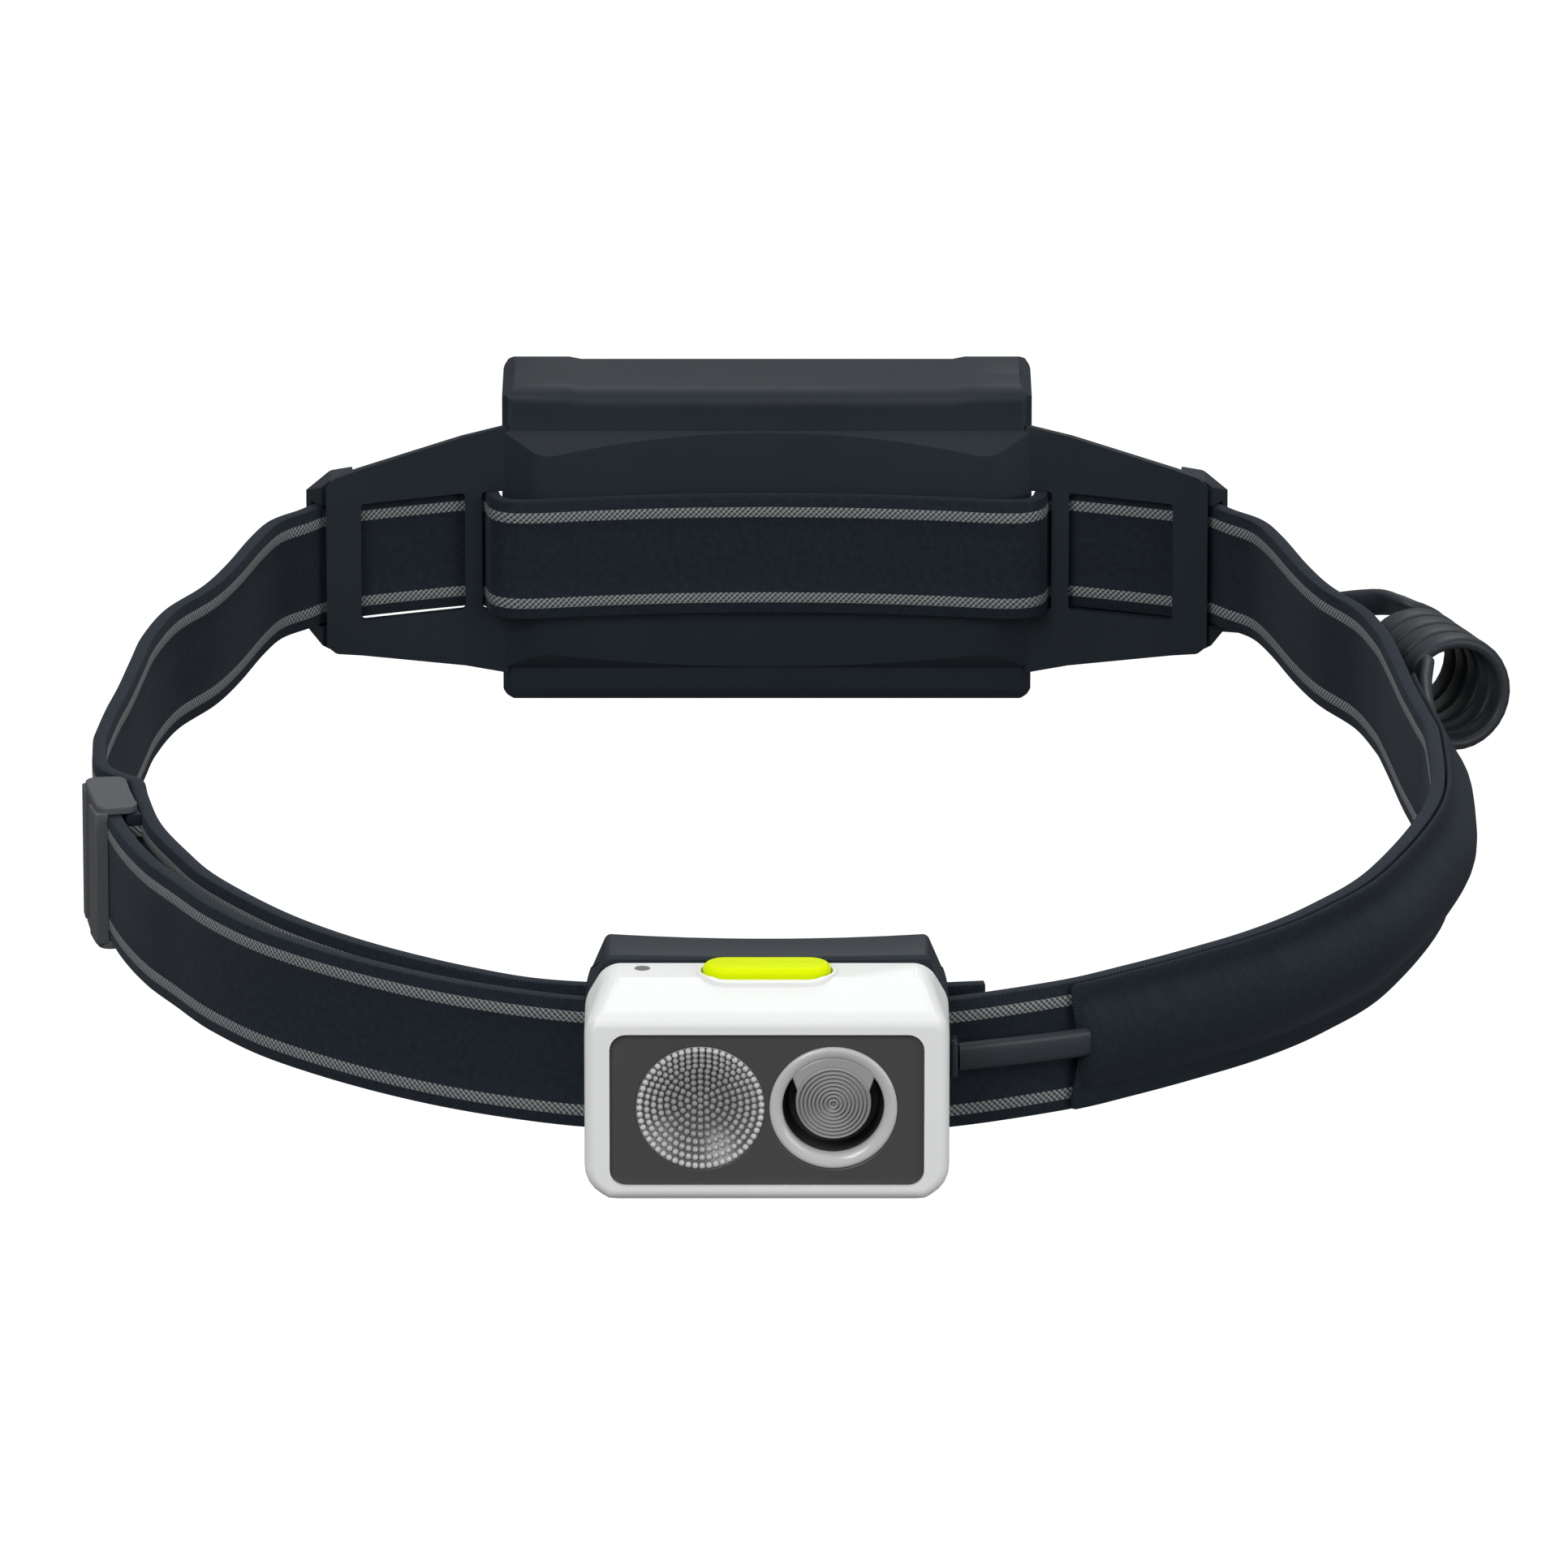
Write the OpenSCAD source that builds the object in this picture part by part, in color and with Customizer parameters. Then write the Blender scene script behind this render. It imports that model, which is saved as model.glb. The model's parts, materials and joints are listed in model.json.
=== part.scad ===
// Headlamp on an elastic band, with a battery pack at the back of the head.
// Frame: origin in the middle of the head opening, +X to the wearer's left, -Y to the front, +Z up.

/* [Strap] */
// Width of the webbing
strap_w = 20; // [18:0.5:22]
// Thickness of the webbing
strap_t = 2.3; // [1.5:0.1:2.5]

/* [Lamp] */
// Width of the lamp housing
lamp_w = 53.8; // [50:0.2:56]
// Depth of the lamp housing from its front face to its back
lamp_depth = 14.9; // [13:0.1:18]
// Height of the plateau on top of the lamp above the strap's middle
lamp_top = 18.8; // [18:0.1:20]
// Height of the lamp's underside
lamp_bottom = -13.2; // [-14:0.1:-13]
// Wall of the lamp housing
lamp_wall = 1.6; // [1.2:0.1:2]
// Diameter of each lens
lens_d = 19; // [18:0.1:19.4]
// Travel of the push button
button_travel = 1; // [0.5:0.1:1.2]

/* [Battery pack] */
// Width of the battery pack
pack_w = 86.8; // [84:0.2:90]
// Height of the battery pack
pack_h = 54; // [52:0.2:56]
// Depth of the battery pack behind its front ridge
pack_depth = 24.5; // [24:0.5:28]
// Wall of the pack's shells
pack_wall = 1.8; // [1.5:0.1:2.2]

/* [Cable] */
// Width of the flat cable
cable_w = 4.4; // [4:0.1:5]
// Outer diameter of the coiled stretch
coil_d = 18.4; // [17:0.2:19]
// Length of the coiled stretch
coil_len = 27.4; // [24:0.2:30]

/* [Hidden] */
eps = 0.01;
strap_fit = 0.35;

// The lamp and its hinge
lamp_front_y = -153;
lamp_back_y = lamp_front_y + lamp_depth;
facet_y = -144.8;
facet_z = 15.3;
hinge_y = -140;
knuckle_r = 2.4;
hinge_z = lamp_bottom + knuckle_r;
pin_r = 1;
cover_t = 1.6;
seal_t = 0.9;
ledge = 1.4;
board_y = -145.4;
board_t = 1.2;
hinge_step_y = -144;
well_back_y = -141.8;
rear_top = 12.4;
hinge_step_z = -6.6;
bezel_recess = 0.7;
bezel_t = 1.6;
bezel_w = 46.4;
bezel_bottom = -11;
bezel_top = 12.6;
lens_x = 9.8;
lens_z = 1;
lens_t = 2.6;
button_half = 9.45;
button_r = 3.3;
button_y = -142.6;
collar = 0.9;
collar_top = 19.2;
button_top = collar_top + button_travel + 0.2;
dot_x = -18.4;
dot_y = -140.5;
dot_d = 2.35;

// The bracket behind the lamp
bracket_front_y = -137.2;
bracket_half = 27;
knuckle_from = 8;
knuckle_to = 16;
hinge_gap = 0.4;
pin_half = 22;
bracket_top = 19.7;
bracket_bottom = -13.6;
brow_r = 190;
brow_cy = 58.6;
brow_wall = 1.35;

// The adjuster slides on this arc of the strap
arc_c = [28, -10];
arc_r = 133.8;
slider_mid = 189.17;
slider_half = 4.18;
slider_rear = 2.7;
slider_out = 134.4;
slider_in = 127.6;
slider_plate = 1.2;

// The battery pack and its wings
ridge_y = 133;
pack_mid = 0.6;
tip_x = 36.8;
tip_y = 129;
pack_x = pack_w / 2;
pack_z = pack_h / 2;
pack_back_y = ridge_y + pack_depth;
split_y = 141.5;
cell_r = 9.2;
cell_l = 65;
cell_y = 146.4;
hinge_drop = 4;
flap_hinge_y = pack_back_y - 0.2;
flap_half = 4.8;
flap_pin_r = 0.35;
wing_slot = 3.3;
wing_end_z = 14.4;
window_in = 49.5;
window_out = 66.4;
flap_x = -24;
flap_z = -12;
cell_z = 10;

// Points of the strap's outer face, and of the middle of its other runs, chosen by hand
front_right = [[14, -130.9], [27, -129.4], [44.3, -121.6], [54.2, -114.6], [64.2, -106.4], [74.5, -96.8],
    [84, -84.6], [94, -66.2], [104, -31.6], [105.3, 0], [104, 14], [102.5, 26], [101, 41], [99.7, 53]];
front_left = [[-14, -130.9], [-27, -129.4], [-38.1, -125.4], [-48, -120.4], [-57.8, -113.7],
    [-67.7, -105.3], [-77.8, -94.6], [-87, -80.2]];
rear_wave = [[99.7, 53], [96.5, 67.5], [91, 80], [87.5, 92], [84, 107.5], [81, 117], [76.5, 122.6]];
wing_run = [[75.6, 121.9], [72.6, 125.9], [66, 129.2], [56, 132.9], [49.6, 135], [47, 135.6],
    [45, 133.7], [44.6, 130.4], [42.6, 127.9], [38, 127.6], [28, 129.2], [14, 130.7], [0, 131.2]];
tail_run = [[-97.5, -22], [-96.5, -30], [-94, -44], [-89.6, -57.5], [-84.4, -70.2], [-74, -87],
    [-63.9, -98.8], [-53.6, -107.8], [-43.6, -114.8], [-33.7, -119.8], [-20, -122], [0, -122.6],
    [20, -122.1], [33, -120.6]];
cross_run = [[-104.15, 0], [-103.8, -10], [-102.6, -16], [-99.4, -20], [-97.5, -22]];

// The cable's own route, outside its coil
cable_front_route = [[28.4, -131.6, 2], [34, -129.8, 2], [41, -126.2, 1.6], [50, -120.6, 1], [60, -113, 0.5],
    [70, -104.2, 0], [79, -94.4, 0], [87, -83, 0], [94, -70.2, 0], [99.6, -56, 0], [104, -41, 0],
    [106.6, -22, 0], [107.4, -4, 0], [107, 12, 0], [105.2, 28, 0], [105.3, 36, 0.4], [104.8, 43, 1.6],
    [104.8, 49, 3.4], [105.4, 54, 5.2]];
cable_rear_route = [[101.6, 82.6, 6.2], [99, 86.4, 5.4], [95, 88.8, 4.4], [91.4, 91, 3.2], [89, 95.4, 1.4],
    [86.8, 102, -1.2], [84.6, 110, -4.4], [82.4, 119, -8], [79.6, 127, -10.4], [74, 132.8, -11.8],
    [66, 136, -12.2], [56, 138.2, -11.8], [47.4, 139.2, -10.6]];
coil_front = [112, 56.2, -1.8];
coil_turn = 21.5;

$fn = 48;

// ---------- curves ----------

// A point on the smooth curve through b and c, with a and d as their neighbours
function curve_point(a, b, c, d, t) = 0.5 * (2 * b + (c - a) * t + (2 * a - 5 * b + 4 * c - d) * t * t
    + (3 * b - a - 3 * c + d) * t * t * t);

// The smooth curve through the points, with n steps between neighbours
function smooth(p, n) = let (last = len(p) - 1) concat(
    [for (i = [0:last - 1]) for (k = [0:n - 1])
        curve_point(p[max(i - 1, 0)], p[i], p[i + 1], p[min(i + 2, last)], k / n)], [p[last]]);

function backwards(p) = [for (i = [len(p) - 1:-1:0]) p[i]];
function mirrored(p) = [for (q = backwards(p)) [-q[0], q[1]]];
function unit(v) = v / norm(v);

// A plan curve moved sideways by d, to its left for a positive d
function beside(p, d) = let (last = len(p) - 1) [for (i = [0:last])
    let (t = unit(p[min(i + 1, last)] - p[max(i - 1, 0)])) p[i] + d * [-t[1], t[0]]];

// Points on the adjuster's arc at radius r, between two angles
function on_arc(r, from, to, n) = [for (i = [0:n])
    let (a = from + (to - from) * i / n) arc_c + r * [cos(a), sin(a)]];

// A band of webbing between two plan curves that run side by side
module band(left, right, h = strap_w) {
    translate([0, 0, -h / 2])
        linear_extrude(height = h) polygon(concat(left, backwards(right)));
}

// A tube with a flat section, swept along a route through space with its width upright
module flat_tube(route, width, thick, sides = 8) {
    last = len(route) - 1;
    rings = [for (i = [0:last])
        let (t = unit(route[min(i + 1, last)] - route[max(i - 1, 0)]),
             s = unit(cross(t, [0, 0, 1])),
             u = cross(s, t))
        for (k = [0:sides - 1])
            let (a = 360 * (k + 0.5) / sides) route[i] + s * thick / 2 * cos(a) + u * width / 2 * sin(a)];
    walls = [for (i = [0:last - 1]) for (k = [0:sides - 1])
        [i * sides + k, i * sides + (k + 1) % sides, (i + 1) * sides + (k + 1) % sides, (i + 1) * sides + k]];
    caps = [[for (k = [sides - 1:-1:0]) k], [for (k = [0:sides - 1]) last * sides + k]];
    polyhedron(points = rings, faces = concat(walls, caps), convexity = 6);
}

// ---------- lamp ----------

// The lamp's outline seen from the front, drawn d inside the outer face
module lamp_outline(d = 0) {
    half = lamp_w / 2 - d;
    top_half = 23.8 - d;
    r = 5 - d;
    round_low = [for (a = [0:-15:-90]) [half - r + r * cos(a), lamp_bottom + d + r + r * sin(a)]];
    cut_z = 13.4 - d;
    polygon(concat([[-half, cut_z], [-top_half, lamp_top - d], [top_half, lamp_top - d], [half, cut_z]],
        round_low, mirrored(round_low)));
}

// The solid between an outline in XZ and a profile in YZ
module block(profile, d = 0) {
    intersection() {
        translate([0, -130, 0]) rotate([90, 0, 0]) linear_extrude(height = 30) lamp_outline(d);
        translate([-40, 0, 0]) rotate([90, 0, 90]) linear_extrude(height = 80) polygon(profile);
    }
}

lamp_profile = concat([[lamp_front_y, lamp_bottom + 1], [lamp_front_y, facet_z], [facet_y, lamp_top],
    [lamp_back_y, lamp_top], [lamp_back_y, hinge_z - 1.4]],
    [for (a = [-40:-10:-90]) [hinge_y + knuckle_r * cos(a), hinge_z + knuckle_r * sin(a)]],
    [[lamp_front_y + 1, lamp_bottom]]);

cavity_profile = [[lamp_front_y + lamp_wall, lamp_bottom + lamp_wall],
    [lamp_front_y + lamp_wall, facet_z - 0.5], [facet_y + 0.6, lamp_top - lamp_wall],
    [well_back_y, lamp_top - lamp_wall], [well_back_y, rear_top], [lamp_back_y + 1, rear_top],
    [lamp_back_y + 1, hinge_step_z], [hinge_step_y, hinge_step_z],
    [hinge_step_y, lamp_bottom + lamp_wall]];

// A rounded rectangle in XZ that runs from y along +Y for t
module front_plate(half, bottom, top, r, y, t) {
    translate([0, y + t, 0]) rotate([90, 0, 0]) linear_extrude(height = t)
        polygon([for (c = [[1, 1, 0], [-1, 1, 90], [-1, -1, 180], [1, -1, 270]]) for (a = [0:15:90])
            [c[0] * (half - r) + r * cos(c[2] + a), (c[1] > 0 ? top - r : bottom + r) + r * sin(c[2] + a)]]);
}

// A pill seen from above, standing on z with height h
module pill(half, r, z, h) {
    translate([0, button_y, z]) linear_extrude(height = h)
        polygon(concat([for (a = [-90:15:90]) [half - r + r * cos(a), r * sin(a)]],
            [for (a = [90:15:270]) [-half + r + r * cos(a), r * sin(a)]]));
}

module along_x(from, to, y, z, r) {
    translate([from, y, z]) rotate([0, 90, 0]) cylinder(r = r, h = to - from);
}

module along_y(x, from, to, z, r) {
    translate([x, from, z]) rotate([-90, 0, 0]) cylinder(r = r, h = to - from);
}

// A slice of space between two planes y = from and y = to
module slab(from, to) {
    translate([-60, from, -40]) cube([120, to - from, 80]);
}

cover_y = lamp_back_y - cover_t;
seal_y = cover_y - seal_t;
cover_spots = [[-22, -3], [22, -3], [-22, 9], [22, 9]];

// The hollow's profile with its open back drawn in by e above and below
function back_profile(e) = [for (q = cavity_profile)
    [q[0], min(max(q[1], hinge_step_z + e), rear_top - e)]];

module lamp_housing() color("white") {
    difference() {
        union() {
            block(lamp_profile);
            pill(button_half + collar, button_r + collar, lamp_top - 1.5, collar_top - lamp_top + 1.5);
        }
        difference() {
            block(cavity_profile, lamp_wall);
            difference() {
                slab(seal_y - 1.4, seal_y);
                intersection() {
                    slab(seal_y - 1.5, seal_y + eps);
                    block(back_profile(ledge), lamp_wall + ledge);
                }
            }
            for (s = cover_spots) along_y(s[0], seal_y - 4, seal_y, s[1], 2);
        }
        front_plate(bezel_w / 2, bezel_bottom, bezel_top, 2.4, lamp_front_y - 1, 4);
        pill(button_half + 0.35, button_r + 0.35, lamp_top - 4, 8);
        pill(button_half + 1.3, button_r + 0.6, lamp_top - 5, 2.7);
        translate([dot_x, dot_y, rear_top + 0.4]) cylinder(d = dot_d, h = 8);
        for (s = cover_spots) along_y(s[0], seal_y - 3.5, seal_y + 1, s[1], 0.8);
        for (side = [-1, 1]) translate([side * (knuckle_from + knuckle_to) / 2, 0, 0]) {
            along_x(-4.3, 4.3, hinge_y, hinge_z, knuckle_r + hinge_gap);
            translate([-4.3, hinge_y, hinge_z - 4]) cube([8.6, 4, 4 + knuckle_r + hinge_gap]);
            translate([-4.3, hinge_y - 2, hinge_z - 4]) cube([8.6, 3, 4]);
        }
        along_x(-pin_half, pin_half, hinge_y, hinge_z, pin_r);
    }
}

module lamp_bezel() color([0.2, 0.2, 0.2]) difference() {
    front_plate(bezel_w / 2, bezel_bottom, bezel_top, 2.4, lamp_front_y + bezel_recess, bezel_t);
    for (x = [-lens_x, lens_x]) along_y(x, lamp_front_y - 1, lamp_front_y + 4, lens_z, lens_d / 2);
}

module flood_lens() color("whitesmoke") difference() {
    along_y(-lens_x, lamp_front_y + 0.2, lamp_front_y + lens_t, lens_z, lens_d / 2 - 0.02);
    along_y(-lens_x, lamp_front_y, lamp_front_y + 0.9, lens_z, lens_d / 2 - 1);
}

module spot_lens() color("lightgray") difference() {
    along_y(lens_x, lamp_front_y + 0.2, lamp_front_y + lens_t, lens_z, lens_d / 2 - 0.02);
    translate([lens_x, lamp_front_y, lens_z]) rotate([-90, 0, 0]) difference() {
        cylinder(r = lens_d / 2 - 2.1, h = 1.6);
        translate([0, -0.6, 0]) cylinder(r = 5.45, h = 2);
    }
}

module led_board() color("seagreen") difference() {
    front_plate(22.6, -10.6, 10.5, 3, board_y, board_t);
    for (s = cover_spots) along_y(s[0], board_y - 1, board_y + 3, s[1], 2.4);
}

// A square light source on the board, facing forward
module led(x, side) {
    translate([x - side / 2, board_y - 0.8, lens_z - side / 2]) cube([side, 0.8, side]);
}

module flood_led() color("gold") led(-lens_x, 5);
module spot_led() color("gold") led(lens_x, 3.5);

module status_light_pipe() color("gray")
    translate([dot_x, dot_y, rear_top + 0.5]) cylinder(d = dot_d - 0.02, h = lamp_top - rear_top - 0.5);

module button_cap() color("greenyellow") {
    pill(button_half, button_r, lamp_top - 2.8, button_top - lamp_top + 2.8);
    pill(button_half + 1, button_r + 0.3, lamp_top - 3.6, 1);
}

module button_switch() color("silver") {
    translate([-3, -147, lamp_top - 7.8]) cube([6, 5, 2.4]);
    translate([0, -144, lamp_top - 5.4]) cylinder(d = 2.4, h = 0.6);
}

module lamp_seal() color("black") intersection() {
    slab(seal_y, cover_y);
    difference() {
        block(back_profile(0.02), lamp_wall + 0.02);
        block(back_profile(ledge), lamp_wall + ledge);
    }
}

module lamp_rear_cover() color("dimgray") difference() {
    intersection() {
        slab(cover_y, lamp_back_y);
        block(back_profile(0.05), lamp_wall + 0.05);
    }
    for (s = cover_spots) along_y(s[0], cover_y - 1, lamp_back_y + 1, s[1], 0.9);
    for (s = cover_spots) along_y(s[0], lamp_back_y - 0.8, lamp_back_y + 1, s[1], 1.7);
}

module cover_screws() color("silver") for (s = cover_spots) {
    along_y(s[0], seal_y - 3, lamp_back_y - 0.7, s[1], 0.8);
    along_y(s[0], lamp_back_y - 0.8, lamp_back_y - 0.1, s[1], 1.6);
}

module hinge_pin() color("silver") along_x(-pin_half, pin_half, hinge_y, hinge_z, pin_r);

// ---------- bracket ----------

module brow_cylinder(r) {
    translate([0, brow_cy, -30]) cylinder(r = r, h = 60, $fn = 180);
}

channel_out = brow_r + strap_fit;
channel_in = brow_r - strap_t - strap_fit;

module bracket() color([0.14, 0.16, 0.19]) difference() {
    union() {
        intersection() {
            translate([0, -120, 0]) rotate([90, 0, 0]) linear_extrude(height = bracket_front_y * -1 - 120)
                polygon([[-bracket_half, bracket_bottom + 4], [-bracket_half, 12], [-23.8, bracket_top],
                    [23.8, bracket_top], [bracket_half, 12], [bracket_half, bracket_bottom + 4],
                    [bracket_half - 4, bracket_bottom], [4 - bracket_half, bracket_bottom]]);
            difference() {
                slab(-140, -120);
                brow_cylinder(channel_in - brow_wall);
                for (z = [-30, strap_w / 2 + 4]) translate([0, brow_cy, z])
                    cylinder(r = channel_in - 0.2, h = 16, $fn = 180);
            }
        }
        for (side = [-1, 1]) translate([side * (knuckle_from + knuckle_to) / 2, 0, 0]) {
            along_x(-3.9, 3.9, hinge_y, hinge_z, knuckle_r);
            translate([-3.9, hinge_y, hinge_z - knuckle_r]) cube([7.8, 4, 2 * knuckle_r]);
        }
    }
    translate([0, brow_cy, -strap_w / 2 - strap_fit]) difference() {
        cylinder(r = channel_out, h = strap_w + 2 * strap_fit, $fn = 180);
        translate([0, 0, -1]) cylinder(r = channel_in, h = strap_w + 4, $fn = 180);
        translate([-300, -60, -2]) cube([600, 400, 40]);
    }
    along_x(-pin_half, pin_half, hinge_y, hinge_z, pin_r + 0.05);
}

module bracket_gland() color([0.1, 0.1, 0.11])
    translate([bracket_half, -133.2, 2 - 3]) cube([1.4, 3.4, 6]);

// ---------- strap ----------

webbing = [0.11, 0.14, 0.18];
right_path = smooth(concat([[0, -131.4]], front_right), 3);
left_path = mirrored(smooth(concat([[0, -131.4]], [for (q = front_left) [-q[0], q[1]]]), 3));
wave_path = smooth(rear_wave, 4);
wing_path = smooth(wing_run, 4);
sleeve_from = 9;

// Webbing whose outer face follows a plan curve that turns to the left
module outer_band(outer) {
    band(outer, beside(outer, strap_t));
}

module middle_band(middle) {
    band(beside(middle, -strap_t / 2), beside(middle, strap_t / 2));
}

module strap_front() color(webbing) outer_band(concat(on_arc(arc_r, slider_mid + 8.6, slider_mid + 20, 5),
    left_path, [for (i = [1:sleeve_from]) right_path[i]]));

module strap_right() color(webbing) outer_band([for (i = [sleeve_from:len(right_path) - 1]) right_path[i]]);

module strap_back() color(webbing) {
    outer_band(wave_path);
    middle_band(wing_path);
    middle_band(mirrored(wing_path));
}

module strap_rear_left() color(webbing) outer_band(concat(mirrored(wave_path),
    [[-101, 41], [-102.5, 26], [-104, 14], [-105.3, 0]]));

module strap_tail() color(webbing)
    middle_band(smooth(concat(cross_run, [for (i = [1:len(tail_run) - 1]) tail_run[i]]), 3));

// A ring piece about the adjuster's arc centre, between two radii, angles and heights
module arc_piece(r1, r2, from, to, z1, z2) {
    translate([arc_c[0], arc_c[1], z1]) rotate([0, 0, from])
        rotate_extrude(angle = to - from, $fn = 180) translate([r1, 0]) square([r2 - r1, z2 - z1]);
}

module strap_end_loop() color(webbing) {
    arc_piece(arc_r - strap_t, arc_r, slider_mid + 2.4, slider_mid + 8.4, -strap_w / 2, strap_w / 2);
    arc_piece(slider_in + 0.8, arc_r - strap_t + eps, slider_mid + 2.4, slider_mid + 3,
        -strap_w / 2, strap_w / 2);
}

module strap_slider() color([0.35, 0.37, 0.38]) {
    inner_z = strap_w / 2 + 0.3;
    outer_z = inner_z + slider_plate;
    front = slider_mid + slider_half;
    for (z = [-outer_z, inner_z])
        arc_piece(slider_in, slider_out, slider_mid - slider_rear, front, z, z + slider_plate);
    arc_piece(slider_in + 0.4, slider_in + 3.4, slider_mid + 0.5, slider_mid + 1.7, -outer_z, outer_z);
    arc_piece(slider_in + 0.4, slider_in + 3.4, front - 0.9, front, -outer_z, outer_z);
    arc_piece(slider_out - 0.3, slider_out + 0.8, front - 1, front, -outer_z, outer_z);
}

// The sleeve is a flat tube of cloth sewn along both edges onto the strap's outer face
module cable_sleeve() color([0.13, 0.16, 0.2]) {
    base = [for (i = [sleeve_from:len(right_path) - 1]) if (right_path[i][1] < 36) right_path[i]];
    difference() {
        union() {
            band(beside(base, -1.2), base, strap_w);
            band(beside(base, -5.4), beside(base, -1.1), 13);
        }
        band(beside(base, -4.2), beside(base, 1), 8.4);
    }
}

// ---------- cable ----------

rubber = [0.09, 0.1, 0.11];
module cable_front() color(rubber) flat_tube(smooth(cable_front_route, 2), cable_w, 2);
module cable_rear() color(rubber) flat_tube(smooth(cable_rear_route, 2), cable_w, 2);
module cable_coil() color(rubber)
    translate(coil_front) rotate([0, 0, coil_turn]) rotate([-90, 0, 0]) cylinder(d = coil_d, h = coil_len);

// ---------- battery pack ----------

corner_cut = 2;

// The pack's outline seen from the front, drawn d inside the outer face
module pack_outline(d = 0) {
    x = pack_x - d;
    z = pack_z - d;
    polygon([for (c = [[1, 1], [-1, 1], [-1, -1], [1, -1]]) for (k = c[0] * c[1] > 0 ? [0, 1] : [1, 0])
        [c[0] * (x - k * corner_cut), c[1] * (z - (1 - k) * corner_cut)]]);
}

// Depth profile with rounded back edges, half the size being half, drawn d inside
module pack_profile(half, front_r, back_r, d = 0) {
    h = half - d;
    right = concat([[h - front_r, ridge_y]], [for (a = [-75:15:0]) [h - front_r + front_r * cos(a),
        ridge_y + front_r + front_r * sin(a)]], [for (a = [0:15:90]) [h - back_r + back_r * cos(a),
        pack_back_y - d - back_r + back_r * sin(a)]]);
    polygon(concat(right, [for (q = backwards(right)) [-q[0], q[1]]]));
}

module pack_block(d = 0) {
    translate([0, 0, pack_mid]) intersection() {
        translate([0, 170, 0]) rotate([90, 0, 0]) linear_extrude(height = 50) pack_outline(d);
        translate([0, 0, -40]) linear_extrude(height = 80) pack_profile(pack_x, 2, 6, d);
        rotate([0, 90, 0]) mirror([1, 0, 0]) translate([0, 0, -60]) linear_extrude(height = 120)
            pack_profile(pack_z, 3, 7, d);
    }
}

// The hollow inside the pack, d inside its outer face, starting d behind the ridge
module pack_hollow(d = pack_wall) {
    intersection() {
        pack_block(d);
        slab(ridge_y + d, pack_back_y);
    }
}

// The curved pad that faces the head, with its sloping upper and lower faces
module head_pad() {
    sag = ridge_y - 0.3 - tip_y;
    r = (tip_x * tip_x + sag * sag) / 2 / sag;
    intersection() {
        difference() {
            translate([0, 0, -30]) linear_extrude(height = 60) polygon([[-pack_x, 134], [-pack_x, 133],
                [-tip_x, tip_y], [tip_x, tip_y], [pack_x, 133], [pack_x, 134]]);
            translate([0, ridge_y - 0.3 - r, -30]) cylinder(r = r, h = 60, $fn = 180);
        }
        rotate([90, 0, 90]) translate([0, 0, -60]) linear_extrude(height = 120)
            polygon([[tip_y - 1, -16.7], [tip_y - 1, 16.7], [tip_y, 16.7], [ridge_y, 20.3], [136, 20.3],
                [136, -20.3], [ridge_y, -20.3], [tip_y, -16.7]]);
    }
}

// One wing on the +X side: a bent plate with a window, and a bar behind its outer end
module wing() {
    difference() {
        intersection() {
            translate([0, 0, -25]) linear_extrude(height = 50)
                polygon([[pack_x - 1, 132.8], [window_in, 131.9], [window_out, 125.5], [72, 122.6],
                    [71.8, 124.1], [window_out + 0.6, 127], [window_in + 0.6, 133.2], [pack_x - 1, 134.1]]);
            rotate([90, 0, 0]) translate([0, 0, -150]) linear_extrude(height = 40)
                polygon([[pack_x - 2, -21.4], [70.5, -15], [73.5, -12], [73.5, 12], [70.5, 15],
                    [pack_x - 2, 21.4]]);
        }
        window();
        translate([pack_x, 120, -strap_w / 2 - 0.1]) cube([wing_slot, 30, strap_w + 0.2]);
    }
    wing_end();
}

// The thick end of a wing: blocks above and below the strap, joined by a bar behind it
module wing_end() {
    intersection() {
        rotate([90, 0, 0]) translate([0, 0, -150]) linear_extrude(height = 40)
            polygon([[60, -wing_end_z], [71.5, -wing_end_z], [75.6, -11.6], [75.6, 11.6],
                [71.5, wing_end_z], [60, wing_end_z]]);
        translate([0, 0, -wing_end_z]) linear_extrude(height = 2 * wing_end_z)
            polygon([[67.2, 126.2], [72.8, 123.4], [74.7, 126.7], [75.4, 128], [68, 132.4]]);
        union() {
            for (z = [-wing_end_z, 10.35]) translate([60, 120, z]) cube([16, 15, wing_end_z - 10.35]);
            translate([0, 0, -wing_end_z]) linear_extrude(height = 2 * wing_end_z)
                polygon([[67.2, 130.9], [74.6, 126.6], [75.4, 128], [68, 132.4]]);
        }
    }
}

// The opening right through a wing
module window() {
    translate([window_in, 115, -strap_w / 2]) cube([window_out - window_in, 30, strap_w]);
}

pack_screw_spots = [[-38.5, -21.5], [38.5, -21.5], [-38.5, 21.5], [38.5, 21.5]];

module pack_frame() color([0.14, 0.16, 0.2]) {
    difference() {
        union() {
            intersection() {
                pack_block();
                slab(ridge_y - 1, split_y);
            }
            head_pad();
            for (side = [0, 1]) mirror([side, 0, 0]) wing();
        }
        pack_hollow();
        for (s = pack_screw_spots) along_y(s[0], split_y - 4, split_y + 1, s[1], 0.9);
    }
}

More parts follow.
